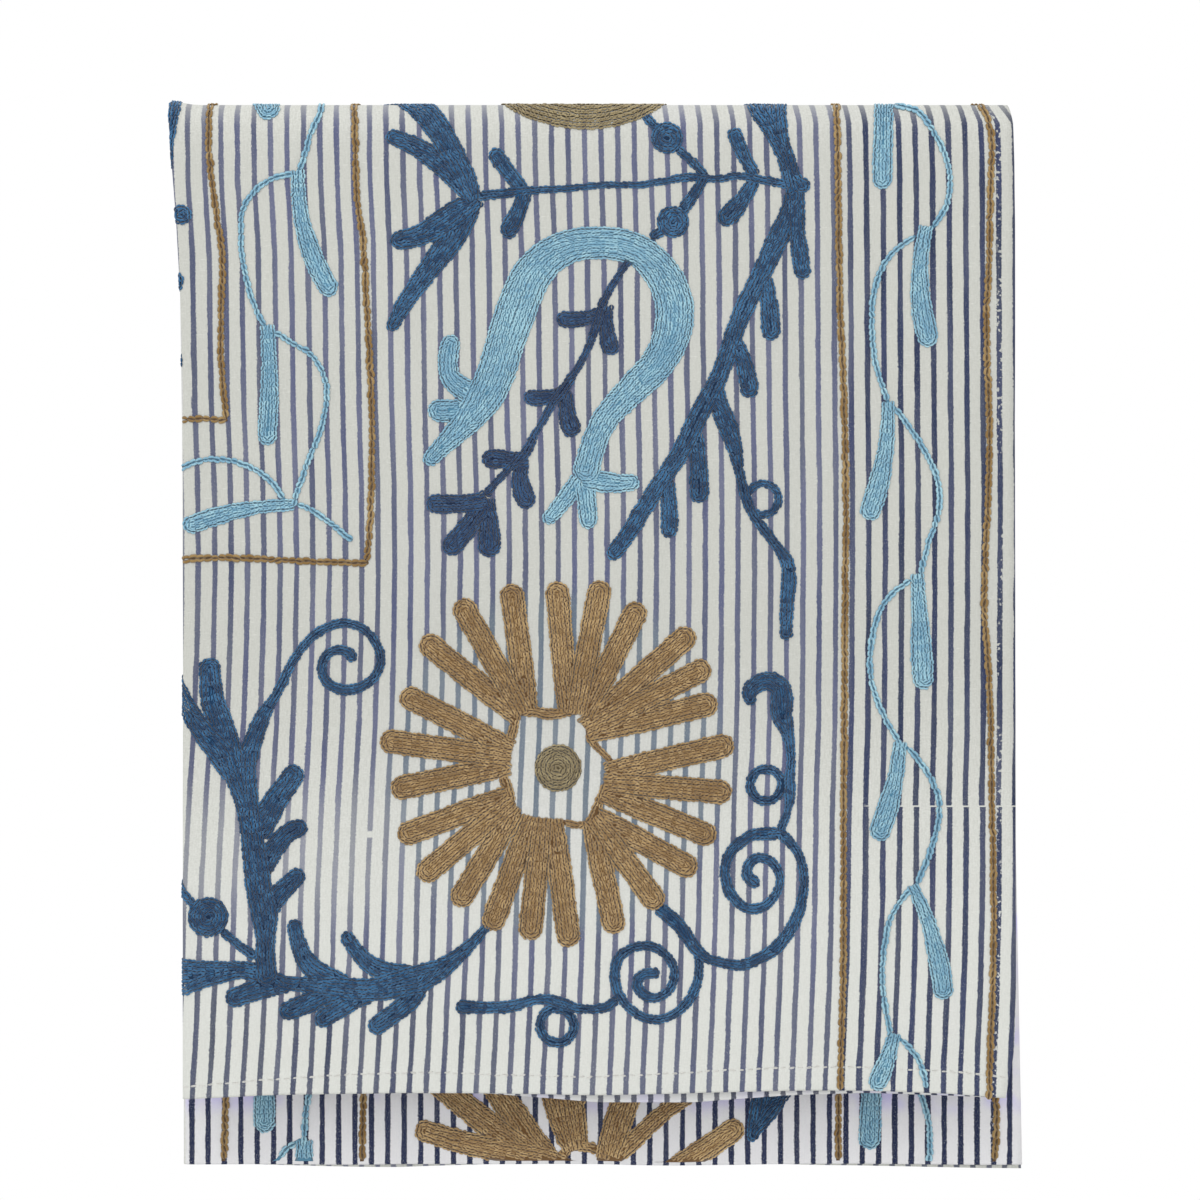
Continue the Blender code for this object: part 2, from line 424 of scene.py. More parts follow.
def colour(red, green, blue):
    """An sRGB colour of 0 to 255, as the linear numbers that shaders use."""
    tone = np.array([red, green, blue]) / 255
    linear = np.where(tone < 0.04045, tone / 12.92, ((tone + 0.055) / 1.055) ** 2.4)
    return (*linear.tolist(), 1.0)


def new_material(name):
    """A new material, its nodes and its shader."""
    material = bpy.data.materials.new(name)
    material.use_nodes = True
    return material, material.node_tree, material.node_tree.nodes["Principled BSDF"]


def attribute(tree, name, output="Fac"):
    """What the mesh carries at each point under this name."""
    return Wire.node(tree, "ShaderNodeAttribute", {"attribute_name": name}, {}, output)


def finish(tree, shader, wires, specular, sheen):
    """Wires what varies to the shader's sockets, and sets what is the same all over."""
    for socket, wire in wires.items():
        tree.links.new(wire.socket, shader.inputs[socket])
    shader.inputs["Specular IOR Level"].default_value = specular
    shader.inputs["Sheen Weight"].default_value = sheen


# The print's own places are in millimetres, across from the open edge and along the run. A pair is where
# something begins and where it is whole.
STRIPE_HALF = 1.60
BORDER = (-112.0, -88.0)       # towards the open edge the ink is navy
FOLD_SIDE = (-440.0, -478.0)
BREAK_RUN = 434.0              # the print's repeats meet here, across the right border
BREAK = (-92.0, -84.0)
CROWN_PALE = (30.0, 6.0)       # how far either side of the crown's top the ink has paled
FADED_RUN = 460.0              # a patch beside the fold where it has faded
FADED_REACH = (60.0, 10.0)
FADED = (-330.0, -400.0)
WORN_STRIPE = -1.0             # counted from the open edge
FLAW_STRIPE = -39.0            # the one with a short gap
FLAW_RUN = 451.0
FLOWER_PRINT = (-273.6, 408.8)  # the flower's middle
SLATE = (112.0, 92.0)          # how far from it the ink has turned slate green
BLEED = (150.0, 40.0)          # and how far from it the ink has run into the white
LOWER = (505.0, 575.0)         # towards the front hem the ink is darker, most at its left
LOWER_LEFT = (-240.0, -380.0)
UPPER_SHADE_FROM = (6.0, 52.0)        # painted shade lies on the upper part of the front flap
UPPER_SHADE_TO = (460.0, 330.0)
LOWER_LIGHT_FROM = (360.0, 560.0)    # and painted light on its lower part
BAND_HEM_SHADOW = (-628.0, -612.0)  # the strip under the front hem has painted lilac shadow, in patches
WARP_PITCH = 0.62
WEFT_PITCH = 0.56


def cotton():
    """White cotton with printed stripes: woven bump, ragged edges, patchy ink and a few printing faults."""
    material, tree, shader = new_material("striped_cotton")
    split = Wire.node(tree, "ShaderNodeSeparateXYZ", {}, {0: attribute(tree, "print_at", "Vector")})
    across, run, wrong = (Wire(socket) for socket in split.socket.node.outputs)
    across, run = across * 1000.0, run * 1000.0
    within = attribute(tree, "inner_layer").step(0.6, 0.95)
    fine, along, thready = (
        Wire.node(tree, "ShaderNodeCombineXYZ", {}, {0: across * x_scale, 1: run * run_scale})
        for x_scale, run_scale in ((1.0, 1.0), (1.0, 0.12), (0.15, 1.0))
    )

    pitch = STRIPE_PITCH * 1000
    on_border = across.step(*BORDER)
    past_break = run.step(BREAK_RUN - 0.4, BREAK_RUN + 0.4) * across.step(*BREAK)
    wander = (along.noise(0.25, 3.0) - 0.5) * 1.1 - past_break * 0.6
    count = (across + wander) / pitch + 0.5
    number = count.math("FLOOR")
    from_middle = ((count - number) - 0.5).math("ABSOLUTE") * pitch
    ragged = (fine.noise(1.0, 4.0, 0.7) - 0.5) * 2.3 + (along.noise(0.5, 2.0) - 0.5) * 0.9
    half = STRIPE_HALF + 0.06 * on_border + ragged
    ink = (from_middle - half).step(0.16, -0.20)
    patchy = (along.noise(0.09, 2.0) - 0.5) * 0.3
    crown = run.math("ABSOLUTE").step(*CROWN_PALE)
    faded = (run - FADED_RUN).math("ABSOLUTE").step(*FADED_REACH) * across.step(*FADED)
    density = 0.90 + 0.08 * on_border + patchy + within * 0.12 - crown * 0.36 - faded * 0.26
    worn = fine.noise(0.42, 1.0, 0.5).step(0.58, 0.63) * along.noise(0.16).step(0.40, 0.52) * 0.85
    worn = (number - WORN_STRIPE).math("COMPARE", 0.0, 0.4) * worn
    dots = fine.noise(1.8, 3.0, 0.7).step(0.58, 0.67) * 0.7
    gap = (run - BREAK_RUN).math("ABSOLUTE").step(0.60, 0.25) * across.step(*BREAK)
    flaw = (run - FLAW_RUN).math("ABSOLUTE").step(2.4, 1.4)
    flaw = flaw * (number - FLAW_STRIPE).math("COMPARE", 0.0, 0.4)
    kept = (1.0 - worn) * (1.0 - dots) * (1.0 - gap) * (1.0 - flaw)
    ink = (ink * density * kept * (1.0 - wrong * 0.15)).math("MINIMUM", 1.0)

    violet = along.noise(0.07, 2.0).step(0.35, 0.65).mix(colour(65, 73, 105), colour(79, 85, 123))
    navy = along.noise(0.11, 2.0).step(0.3, 0.7).mix(colour(41, 51, 79), colour(57, 65, 97))
    low = run.step(*LOWER) * (0.40 + 0.45 * across.step(*LOWER_LEFT))
    dark = 0.05 + 0.95 * on_border + 0.35 * across.step(*FOLD_SIDE) + 0.8 * within + low
    inked = dark.math("MINIMUM", 1.0).mix(violet, navy)
    inked = (within * 0.65).mix(inked, colour(24, 32, 62))
    aside, down = across - FLOWER_PRINT[0], run - FLOWER_PRINT[1]
    away = (aside * aside + down * down).math("SQRT")
    inked = (away.step(*SLATE) * 0.7).mix(inked, colour(102, 118, 128))

    mottle = fine.noise(0.9, 3.0, 0.6)
    streak = along.noise(1.4, 2.0)
    ground = (mottle * 0.6 + streak * 0.4).step(0.35, 0.65).mix(colour(191, 192, 185), colour(210, 211, 205))
    bleed = away.step(*BLEED) * 0.10 + fine.noise(0.012, 2.0).step(0.55, 0.75) * 0.12
    # painted lilac shadow: faint over the whole band, and in patches just under the front hem
    hem_shadow_tint = within * (0.12 + 0.75 * fine.noise(0.03, 2.0).step(0.45, 0.62) * run.step(*BAND_HEM_SHADOW))
    # painted shade on the upper part of the front flap
    painted_upper_shade = run.step(*UPPER_SHADE_FROM) * run.step(*UPPER_SHADE_TO) * 0.50
    slub = thready.noise(1.2, 2.0).step(0.60, 0.72) * 0.25
    for share, tint in (
        (bleed, colour(206, 204, 218)),
        # painted light on the band, against the front flap's shade
        (within * 0.6, colour(238, 238, 236)),
        (hem_shadow_tint, colour(196, 190, 232)),
        (painted_upper_shade, colour(184, 185, 178)),
        # painted light on the lower part of the front flap
        (run.step(*LOWER_LIGHT_FROM) * 0.5, colour(219, 221, 216)),
        (slub, colour(232, 231, 226)),
    ):
        ground = share.mix(ground, tint)

    warp = (across * (2 * np.pi / WARP_PITCH)).math("SINE")
    weft = (run * (2 * np.pi / WEFT_PITCH)).math("SINE")
    weave = warp * weft * 0.5 + (fine.noise(1.8, 2.0) - 0.5) * 0.8 + (thready.noise(1.6) - 0.5) * 0.7
    bump = Wire.node(tree, "ShaderNodeBump", {}, {"Height": weave, "Strength": 0.35, "Distance": 0.0002})
    wires = {"Base Color": ink.mix(ground, inked), "Normal": bump, "Roughness": 0.86 + 0.08 * mottle}
    finish(tree, shader, wires, specular=0.2, sheen=0.08)
    return material


cloth = cloth_piece()
cloth.data.materials.append(cotton())
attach(cloth, "root")
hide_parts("cloth")

# The brown frame lines: single chains of thick wool, worked straight through the cloth. The two at the fold
# turn their corners and run off round it, and the other two follow the open edge from the crown to the hem.
STEP = 0.0006             # the design is charted in steps of 0.6 mm, as the front flap is seen
CHART_MIDDLE = 600
EYE_DISTANCE = 2.0
EYE_ACROSS = 0.0024
EYE_HEIGHT = -0.2956
LOW_SEEN_TURN = np.radians(8.4)  # the crown's skyline, seen from a little below it

crown_turns = np.linspace(LOW_SEEN_TURN, np.pi / 2, 60)
crown_reach = 1 + CROWN_RADIUS * (1 - np.sin(crown_turns)) / EYE_DISTANCE
crown_heights = -RAIL_RADIUS + CROWN_RADIUS * np.cos(crown_turns)
crown_chart = CHART_MIDDLE - (crown_heights - EYE_HEIGHT) / crown_reach / STEP


def across_of(chart, reach=1.0):
    """The place across of chart places. What hangs further off than the chart's plane is wider, by reach."""
    return EYE_ACROSS + (chart[:, 0] - CHART_MIDDLE) * STEP * reach


def on_front(chart):
    """Chart places on the front flap and the crown, as across and run."""
    down = chart[:, 1]
    run = np.interp(down, crown_chart, CROWN_RADIUS * crown_turns)
    run += np.maximum(down - crown_chart[-1], 0) * STEP - np.maximum(crown_chart[0] - down, 0) * STEP
    return np.stack([across_of(chart, np.interp(down, crown_chart, crown_reach)), run], axis=1)


def on_band(chart):
    """Chart places on the inner layer of the back flap, where it shows below the front hem."""
    reach = 1 + (CROWN_RADIUS + RAIL_RADIUS) / EYE_DISTANCE
    depth = -RAIL_RADIUS - EYE_HEIGHT - (CHART_MIDDLE - chart[:, 1]) * STEP * reach
    return np.stack([across_of(chart, reach), -QUARTER - depth], axis=1)


def on_rear(chart):
    """Chart places on the outer layer of the back flap: the chart goes on down the back from the crown."""
    return np.stack([across_of(chart), -(chart[:, 1] - crown_chart[0]) * STEP], axis=1)


Side = namedtuple("Side", "name place inner")
FRONT = Side("front", on_front, False)
BAND = Side("band", on_band, True)
REAR = Side("rear", on_rear, False)
Chain = namedtuple("Chain", "width length")
FILL_CHAIN = Chain(4.4, 4.4)
VINE_CHAIN = Chain(5.8, 6.0)
FRAME_CHAIN = Chain(6.4, 7.0)
SINGLE_BED = 0.3          # the half width of the bed under a single row, of the row's width
FUZZ = 0.6                # the wool's pile makes each band look this much wider
FILL_SPACING = 0.7        # between the points of a filled band's middle line
WHOLE = 0.65              # of a row: where this much is left, a row on each side is squeezed in
SQUEEZED = 0.8            # of a row: the narrowest that it is squeezed to
LEAST = 0.25              # of a row: where less is left, nothing is worked
MIDDLE_ROW = (0.85, 1.3)  # of a row: the narrowest and widest that runs alone down the middle
BED_INSET = 0.22          # of a row: how far the bed lies inside the band's edge
CAP = np.linspace(0, np.pi, 14)[1:-1, None]  # the turns of the rows round a band's end


def smooth_line(points, spacing=1.0):
    """An even line through the points: each span is a cubic whose end slopes follow the points beside it."""
    points = np.asarray(points, float)
    gap = np.sqrt(np.hypot(*np.diff(points[:, :2], axis=0).T))
    at = np.append(0, np.cumsum(gap))
    slope = np.diff(points, axis=0) / gap[:, None]
    if len(points) > 2:
        inside = (slope[:-1] * gap[1:, None] + slope[1:] * gap[:-1, None]) / (gap[1:] + gap[:-1])[:, None]
        first, last = 1.5 * slope[0] - 0.5 * inside[0], 1.5 * slope[-1] - 0.5 * inside[-1]
        tangent = np.concatenate([first[None], inside, last[None]])
    else:
        tangent = np.concatenate([slope, slope])
    where = np.linspace(0, at[-1], 40 * len(points))
    span = np.clip(np.searchsorted(at, where, "right") - 1, 0, len(gap) - 1)
    t = ((where - at[span]) / gap[span])[:, None]
    width = gap[span][:, None]
    line = (2 * t**3 - 3 * t**2 + 1) * points[span] + (t**3 - 2 * t**2 + t) * width * tangent[span]
    line += (3 * t**2 - 2 * t**3) * points[span + 1] + (t**3 - t**2) * width * tangent[span + 1]
    gone = np.append(0, np.cumsum(np.hypot(*np.diff(line[:, :2], axis=0).T)))
    even = np.linspace(0, gone[-1], max(int(gone[-1] / spacing), 3))
    return np.stack([np.interp(even, gone, column) for column in line.T], axis=1)


def normals_of(line):
    """Unit normals, to the left of the way the line goes."""
    ahead = np.gradient(line[:, :2], axis=0)
    ahead /= np.maximum(np.hypot(ahead[:, 0], ahead[:, 1]), 1e-9)[:, None]
    return np.stack([-ahead[:, 1], ahead[:, 0]], axis=1)


def length_along(path):
    return np.append(0, np.cumsum(np.hypot(*np.diff(path[:, :2], axis=0).T)))


def stitch_row(path, width, chain):
    """Stitches end to end along a path, each as wide as the row is there, and none where it has no width."""
    gone = length_along(path)
    count = max(int(round(gone[-1] / chain.length)), 1)
    middle = (np.arange(count) + 0.5) * gone[-1] / count
    reach = 0.4 * chain.length
    behind, here, ahead = (
        np.stack([np.interp(middle + step, gone, path[:, axis]) for axis in (0, 1)], axis=1)
        for step in (-reach, 0, reach)
    )
    heading = np.arctan2(ahead[:, 1] - behind[:, 1], ahead[:, 0] - behind[:, 0])
    wide = width[np.clip(np.searchsorted(gone, middle), 0, len(width) - 1)]
    row = np.column_stack([here, heading, np.full(count, float(chain.length)), wide])
    return row[wide > 0]


class Work:
    """Rows of stitches, and the beds of packed yarn that lie under them: lines of x, y and half width."""

    def __init__(self, rows=(), beds=()):
        self.rows = list(rows)
        self.beds = list(beds)

    def __add__(self, other):
        return Work(self.rows + other.rows, self.beds + other.beds)


def together(works):
    return sum(works, Work())


def single(points, chain):
    """One row of chain along a line, on a narrow bed."""
    line = smooth_line([(x, y, SINGLE_BED * chain.width) for x, y in points])
    return Work([stitch_row(line[:, :2], np.full(len(line), float(chain.width)), chain)], [line])


def filled(points, chain=FILL_CHAIN, round_start=False, round_end=True):
    """Rows of chain that fill a band of changing width, nested from its outline inwards.

    Its points are x, y and width. Level after level, the rows lie half a row inside what is left of the half
    width. Where less than a row is left, one row runs down the middle, as wide as what is left.
    """
    line = smooth_line(points, FILL_SPACING)
    line[:, 2] += FUZZ
    gone = length_along(line)
    low = line[0, 2] / 2 if round_start else 0
    high = gone[-1] - (line[-1, 2] / 2 if round_end else 0)
    line = line[(gone >= low) & (gone <= max(high, low + 2))]
    centre, half, normal = line[:, :2], line[:, 2:] / 2, normals_of(line)
    rows = []
    for level in range(int(half.max() / chain.width + 1)):
        left = half - level * chain.width
        offset = np.maximum(left - chain.width / 2, 0)
        offset = np.where(left >= chain.width, offset, left / 2)
        squeezed = np.where(left >= WHOLE * chain.width, np.maximum(left, SQUEEZED * chain.width), 0.0)
        two = np.where(left >= chain.width, chain.width, squeezed)[:, 0]
        one = np.where((left >= LEAST * chain.width) & (left < WHOLE * chain.width), 2 * left, 0.0)[:, 0]
        path, width = [centre + normal * offset], [two]
        if round_end:
            ahead = np.array([normal[-1, 1], -normal[-1, 0]])
            path.append(centre[-1] + offset[-1] * (np.cos(CAP) * normal[-1] + np.sin(CAP) * ahead))
            width.append(np.full(len(CAP), two[-1]))
        path.append((centre - normal * offset)[::-1])
        width.append(two[::-1])
        if round_start:
            behind = np.array([-normal[0, 1], normal[0, 0]])
            path.append(centre[0] + offset[0] * (-np.cos(CAP) * normal[0] + np.sin(CAP) * behind))
            width.append(np.full(len(CAP), two[0]))
        rows.append(stitch_row(np.concatenate(path), np.concatenate(width), chain))
        if one.any():
            narrowest, widest = (share * chain.width for share in MIDDLE_ROW)
            middle = np.where(one > 0, np.clip(one, narrowest, widest), 0)
            rows.append(stitch_row(centre, middle, chain))
    bed = np.column_stack([centre, np.maximum(half - BED_INSET * chain.width, LEAST * chain.width)])
    gone = length_along(bed)
    low = 0 if round_start else bed[0, 2]
    high = gone[-1] - (0 if round_end else bed[-1, 2])
    return Work(rows, [bed[(gone >= low) & (gone <= high)]])


def strokes(bands, chain=FILL_CHAIN, round_start=False):
    return together([filled(band, chain, round_start) for band in bands])


def chains(lines, chain):
    return together([single(line, chain) for line in lines])


# One stitch: two strands that leave the last loop together, part, and meet in the next one. Along is in
# stitch lengths, across in half widths, up in millimetres. A bed is a low rounded strip under the rows.
Strand = namedtuple("Strand", "along across up")
STRAND = table(
    Strand,
    (-0.60, 0.12, 0.30),
    (-0.26, 0.50, 0.50),
    (0.08, 0.62, 0.56),
    (0.40, 0.54, 0.53),
    (0.70, 0.10, 0.34),
)
YARN_ACROSS = 0.50        # half the yarn's thickness, in half widths
YARN_UP = 0.33            # the same in millimetres
END_PAINTED_SHADE = 0.45          # painted shade on the yarn: at a stitch's ends, on its top and at its sides
TOP_PAINTED_SHADE = 0.10
SIDE_PAINTED_SHADE = 0.60
HOLE_PAINTED_SHADE = 0.40         # how much the painted shade deepens towards the hole between the strands, and lightens outside
HOLE_SHARE = 0.6          # of that, where the strands lie closer together
# painted shade on the beds of yarn under the rows
BED_PAINTED_SHADE = 0.85
BED_UP = 0.12
BED_RISE = 0.30
BED_SIDES = 6
BED_SPACING = 6           # between a bed's cross sections
BED_CAP = np.radians([25.0, 50.0, 75.0])


def stitch_template():
    """Corners (along, across, up, painted shade) and triangles of one stitch: two closed, three-sided
    strands.
    """
    corners, faces = [], []
    first, *rings, last = STRAND
    for hand in (1, -1):
        base = len(corners)
        corners.append((first.along, hand * first.across, first.up, END_PAINTED_SHADE))
        for ring in rings:
            hole = 1.0 if ring is rings[1] else HOLE_SHARE
            for angle in np.radians([90.0, 210.0, 330.0]):
                aside = hand * ring.across + YARN_ACROSS * np.cos(angle)
                # painted shade: darker on the lower corners towards the hole, lighter on the outer flank; the
                # top is lit
                low = SIDE_PAINTED_SHADE - HOLE_PAINTED_SHADE * hand * np.cos(angle) * hole
                depth = low if np.sin(angle) < 0 else TOP_PAINTED_SHADE
                corners.append((ring.along, aside, ring.up + YARN_UP * np.sin(angle), depth))
        corners.append((last.along, hand * last.across, last.up, END_PAINTED_SHADE))
        starts = [base + 1 + 3 * ring for ring in range(3)]
        for side in range(3):
            after = (side + 1) % 3
            faces.append((base, starts[0] + after, starts[0] + side))
            for near, far in zip(starts[:-1], starts[1:]):
                faces.append((near + side, near + after, far + after))
                faces.append((near + side, far + after, far + side))
            faces.append((starts[2] + 3, starts[2] + side, starts[2] + after))
    return np.array(corners, float), np.array(faces)


def bed_mesh(line):
    """A six-sided strip along the line, on the chart: x, y, up in millimetres. Its ends are rounded."""
    gone = length_along(line)
    even = np.linspace(0, gone[-1], max(int(gone[-1] / BED_SPACING), 2))
    line = np.stack([np.interp(even, gone, column) for column in line.T], axis=1)
    normal = normals_of(line)
    parts = []
    for end, sign in ((0, -1), (-1, 1)):
        ahead = sign * np.array([normal[end, 1], -normal[end, 0]])
        place = line[end, :2] + line[end, 2] * np.sin(BED_CAP)[:, None] * ahead
        parts.append(np.column_stack([place, line[end, 2] * np.cos(BED_CAP)])[::sign])
    middle = np.concatenate([parts[0], line, parts[1]])
    cap = len(BED_CAP)
    normal = np.concatenate([np.repeat(normal[:1], cap, 0), normal, np.repeat(normal[-1:], cap, 0)])
    angle = np.radians(np.arange(BED_SIDES) * 360.0 / BED_SIDES)
    share = np.sqrt(np.clip(middle[:, 2] / middle[:, 2].max(), 0.1, 1))[:, None]
    x = middle[:, :1] + normal[:, :1] * middle[:, 2:] * np.cos(angle)
    y = middle[:, 1:2] + normal[:, 1:] * middle[:, 2:] * np.cos(angle)
    rings = np.stack([x, y, BED_UP + BED_RISE * share * np.sin(angle) + 0 * x], axis=-1)
    poles = np.stack([rings[0].mean(axis=0), rings[-1].mean(axis=0)])
    side = np.arange(BED_SIDES)
    after = (side + 1) % BED_SIDES
    ring = np.arange(len(rings) - 1)[:, None] * BED_SIDES
    first, second = ring + side, ring + after
    third, fourth = second + BED_SIDES, first + BED_SIDES
    walls = np.stack([np.stack([first, third, second], -1), np.stack([first, fourth, third], -1)])
    last, pole = ring[-1, 0] + BED_SIDES, len(rings) * BED_SIDES
    lids = np.concatenate([
        np.stack([np.full(BED_SIDES, pole), side, after], -1),
        np.stack([np.full(BED_SIDES, pole + 1), last + after, last + side], -1),
    ])
    return np.concatenate([rings.reshape(-1, 3), poles]), np.concatenate([walls.reshape(-1, 3), lids])


def stand(x, run, up, side):
    """Points on the cloth, up above its right side. Past the fold's start they go round its half circle."""
    if side.inner:
        return hang(x, run, -up, np.ones_like(x))
    fold = edge_of(run, "fold")
    bend = outer_face(fold, run) / 2
    past = (fold + bend - x) / bend
    turn = np.where(past < 1, np.arcsin(np.clip(past, 0, 1)), np.pi / 2 + past - 1)
    round_x = fold + bend - (bend + up) * np.sin(turn)
    round_height = bend + (bend + up) * np.cos(turn)
    on_turn = past > 0
    height = np.where(on_turn, round_height, outer_face(x, run) + up)
    return hang(np.where(on_turn, round_x, x), run, height, np.where(on_turn, turn / np.pi, 0))


TEMPLATE, TEMPLATE_FACES = stitch_template()
worked = {side.name: np.zeros((0, 2)) for side in (FRONT, BAND, REAR)}
dice = np.random.default_rng(11)
CLOSEST = 0.66            # of a row's width: a stitch nearer than this to one already worked is left out
FURTHEST_ROUND = 0.0036   # how far past the fold's edge the work is still made
REAR_FOLD = -0.2535       # the fold's edge on the back flap, taken as straight
HEM_CLEAR = 1158          # the chart's last row of stitches above the back hem
HEM_CUT = 1161            # where the hem's fold takes in the rest of the work
HEADING_UNEVEN = 0.15     # how far hand work strays, in heading, place and size
PLACE_UNEVEN = 0.28
FATNESS = 1.10
FAT_UNEVEN = 0.08
HIGHEST = 1.3             # stitches wider than this many filling rows stand no higher
STITCH_MAP = 0.27         # half the width of the stitches' bake map


def free_rows(rows, side):
    """Keeps the stitches that don't fall on work already done, row by row."""
    kept = [np.zeros((0, 5))]
    for row in rows:
        done = worked[side.name]
        if len(row) and len(done):
            apart = np.hypot(row[:, None, 0] - done[None, :, 0], row[:, None, 1] - done[None, :, 1])
            row = row[apart.min(axis=1) > CLOSEST * FILL_CHAIN.width]
        worked[side.name] = np.concatenate([done, row[:, :2]])
        kept.append(row)
    return np.concatenate(kept)


def furthest(run):
    """The place across where the work ends, a little way round the fold."""
    return np.where(run >= 0, read(FRONT_EDGES, fall_of(run), "fold"), REAR_FOLD) - FURTHEST_ROUND


def stitch_piece(name, work, side, material, rise=1.0):
    """Works rows on one side of the cloth: a mesh of stitches on their beds, each stitch a little uneven."""
    stitches = free_rows(work.rows, side)
    across, run = side.place(stitches[:, :2]).T
    keep = across > furthest(run)
    if side is not FRONT:
        keep &= stitches[:, 1] < HEM_CLEAR
    stitches = stitches[keep]
    count = len(stitches)
    heading, length, width = stitches[:, 2:].T
    heading = heading + dice.normal(0, HEADING_UNEVEN, count)
    place = stitches[:, :2] + dice.normal(0, PLACE_UNEVEN, (count, 2))
    fat = FATNESS + dice.normal(0, FAT_UNEVEN, count)
    tone = dice.normal(0, 1, count)
    sine, cosine = np.sin(heading)[:, None], np.cos(heading)[:, None]
    along = TEMPLATE[None, :, 0] * (length * fat)[:, None]
    across = TEMPLATE[None, :, 1] * (width / 2 * fat)[:, None]
    chart_x = place[:, :1] + along * cosine - across * sine
    chart_y = place[:, 1:] + along * sine + across * cosine
    up = TEMPLATE[None, :, 2] * (rise * np.minimum(width / FILL_CHAIN.width, HIGHEST) * fat)[:, None]
    corners = [np.stack([chart_x.ravel(), chart_y.ravel(), up.ravel()], axis=1)]
    base = (np.arange(count) * len(TEMPLATE))[:, None, None]
    triangles = [(TEMPLATE_FACES[None] + base).reshape(-1, 3)]
    total = count * len(TEMPLATE)
    for bed in work.beds:
        bed_corners, bed_triangles = bed_mesh(bed)
        corners.append(bed_corners)
        triangles.append(bed_triangles + total)
        total += len(bed_corners)
    chart, triangles = np.concatenate(corners), np.concatenate(triangles)
    if side is FRONT:
        triangles = triangles[:, ::-1]
    else:
        chart[:, 1] = np.minimum(chart[:, 1], HEM_CUT)
    across, run = side.place(chart[:, :2]).T
    x = np.maximum(across, furthest(run))
    mesh = flat_mesh(name, stand(x, run, chart[:, 2] * 0.001, side), triangles)
    padding = total - count * len(TEMPLATE)
    add_values(mesh, "tone", "FLOAT", np.append(np.repeat(tone, len(TEMPLATE)), np.zeros(padding)))
    # the painted shade of each point: the stitch template's, and deep shade on the beds
    add_values(mesh, "depth", "FLOAT", np.append(np.tile(TEMPLATE[:, 3], count), np.full(padding, BED_PAINTED_SHADE)))
    uv = np.stack([(x + STITCH_MAP) / (2 * STITCH_MAP), (run + MAP_BACK) / MAP_LENGTH], axis=1)
    add_map(mesh, uv[triangles.ravel()])
    mesh.materials.append(material)
    piece = in_scene(name, mesh)
    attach(piece, "root")


def wool(name, dark, middle, light):
    """Dyed wool: each stitch has its own tone, painted shade turns its low parts, holes and beds towards the
    dark colour, and a fine fuzz breaks up the light.
    """
    material, tree, shader = new_material(name)
    tone, depth = attribute(tree, "tone"), attribute(tree, "depth")
    place = Wire.node(tree, "ShaderNodeTexCoord", {}, {}, "Object")
    fuzz, batch = place.noise(2200.0, 2.0), place.noise(28.0, 2.0)
    shade = 0.50 + tone * 0.24 + (fuzz - 0.5) * 0.6 + (batch - 0.5) * 1.1
    bright = shade.step(0.15, 0.95).mix(colour(*middle), colour(*light))
    # painted shade: where the mesh's depth value is high, the yarn turns to the dark colour
    paint = depth.step(0.35, 1.0).mix(bright, colour(*dark))
    bump = Wire.node(tree, "ShaderNodeBump", {}, {"Height": fuzz, "Strength": 0.5, "Distance": 0.0003})
    wires = {"Base Color": paint, "Normal": bump, "Roughness": 0.84 + 0.1 * fuzz}
    finish(tree, shader, wires, specular=0.25, sheen=0.25)
    return material


brown_wool = wool("brown_wool", (76, 52, 24), (136, 106, 58), (166, 138, 90))
FRAME_LINES = (
    ((211, 96), (210, 107), (209, 152), (217, 218), (222, 252), (221, 353), (226, 417)),
    ((226, 420), (205, 419), (181, 420)),
    ((354, 96), (355, 130), (357, 195), (363, 240), (368, 324), (372, 424), (370, 528), (367, 560)),
    ((367, 563), (300, 561), (240, 558), (184, 559)),
    ((836, 96), (838, 174), (840, 299), (844, 392), (846, 500), (845, 625), (844, 780), (843, 980),
     (840, 1090)),
    ((977, 97), (980, 105), (986, 115), (991, 132), (990, 200), (989, 255), (986, 330), (989, 440),
     (985, 550)),
    ((985, 550), (984, 609), (989, 687), (991, 781), (993, 900), (992, 976), (989, 1060), (988, 1093)),
)
FRAME_RISE = 0.85
stitch_piece("frame_lines", chains(FRAME_LINES, FRAME_CHAIN), FRONT, brown_wool, FRAME_RISE)

# The light-blue borders: a vine of single chain that swings down beside each frame line, with long filled
# leaves hanging from its joints.
sky_wool = wool("sky_wool", (60, 112, 140), (128, 175, 199), (165, 207, 221))
Leaf = namedtuple("Leaf", "x y tip_x tip_y width bow root")
VINES = (
    ((322, 100), (320, 112), (312, 130), (302, 163), (297, 173)),
    ((292, 174), (270, 180), (253, 193), (243, 211), (241, 240), (247, 280), (259, 315), (268, 330)),
    ((276, 333), (293, 343), (314, 358), (326, 385), (322, 425), (308, 462), (298, 490), (294, 505)),
    ((180, 469), (196, 462), (219, 459), (245, 465), (270, 480), (286, 502)),
    ((299, 505), (315, 512), (334, 526), (351, 540)),
    ((888, 104), (900, 106), (916, 111), (934, 133), (947, 161), (950, 186), (943, 213), (926, 234)),
    ((914, 237), (891, 255), (877, 280), (872, 311), (875, 360), (889, 405)),
    ((892, 405), (909, 427), (925, 452), (938, 485), (938, 512), (928, 542), (919, 578)),
    ((909, 581), (884, 603), (873, 634), (870, 669), (877, 700), (900, 744)),
    ((903, 744), (925, 769), (937, 795), (938, 820), (928, 855), (915, 887)),
    ((909, 890), (891, 916), (884, 947), (883, 990), (891, 1038)),
    ((897, 1037), (917, 1058), (926, 1086)),
)
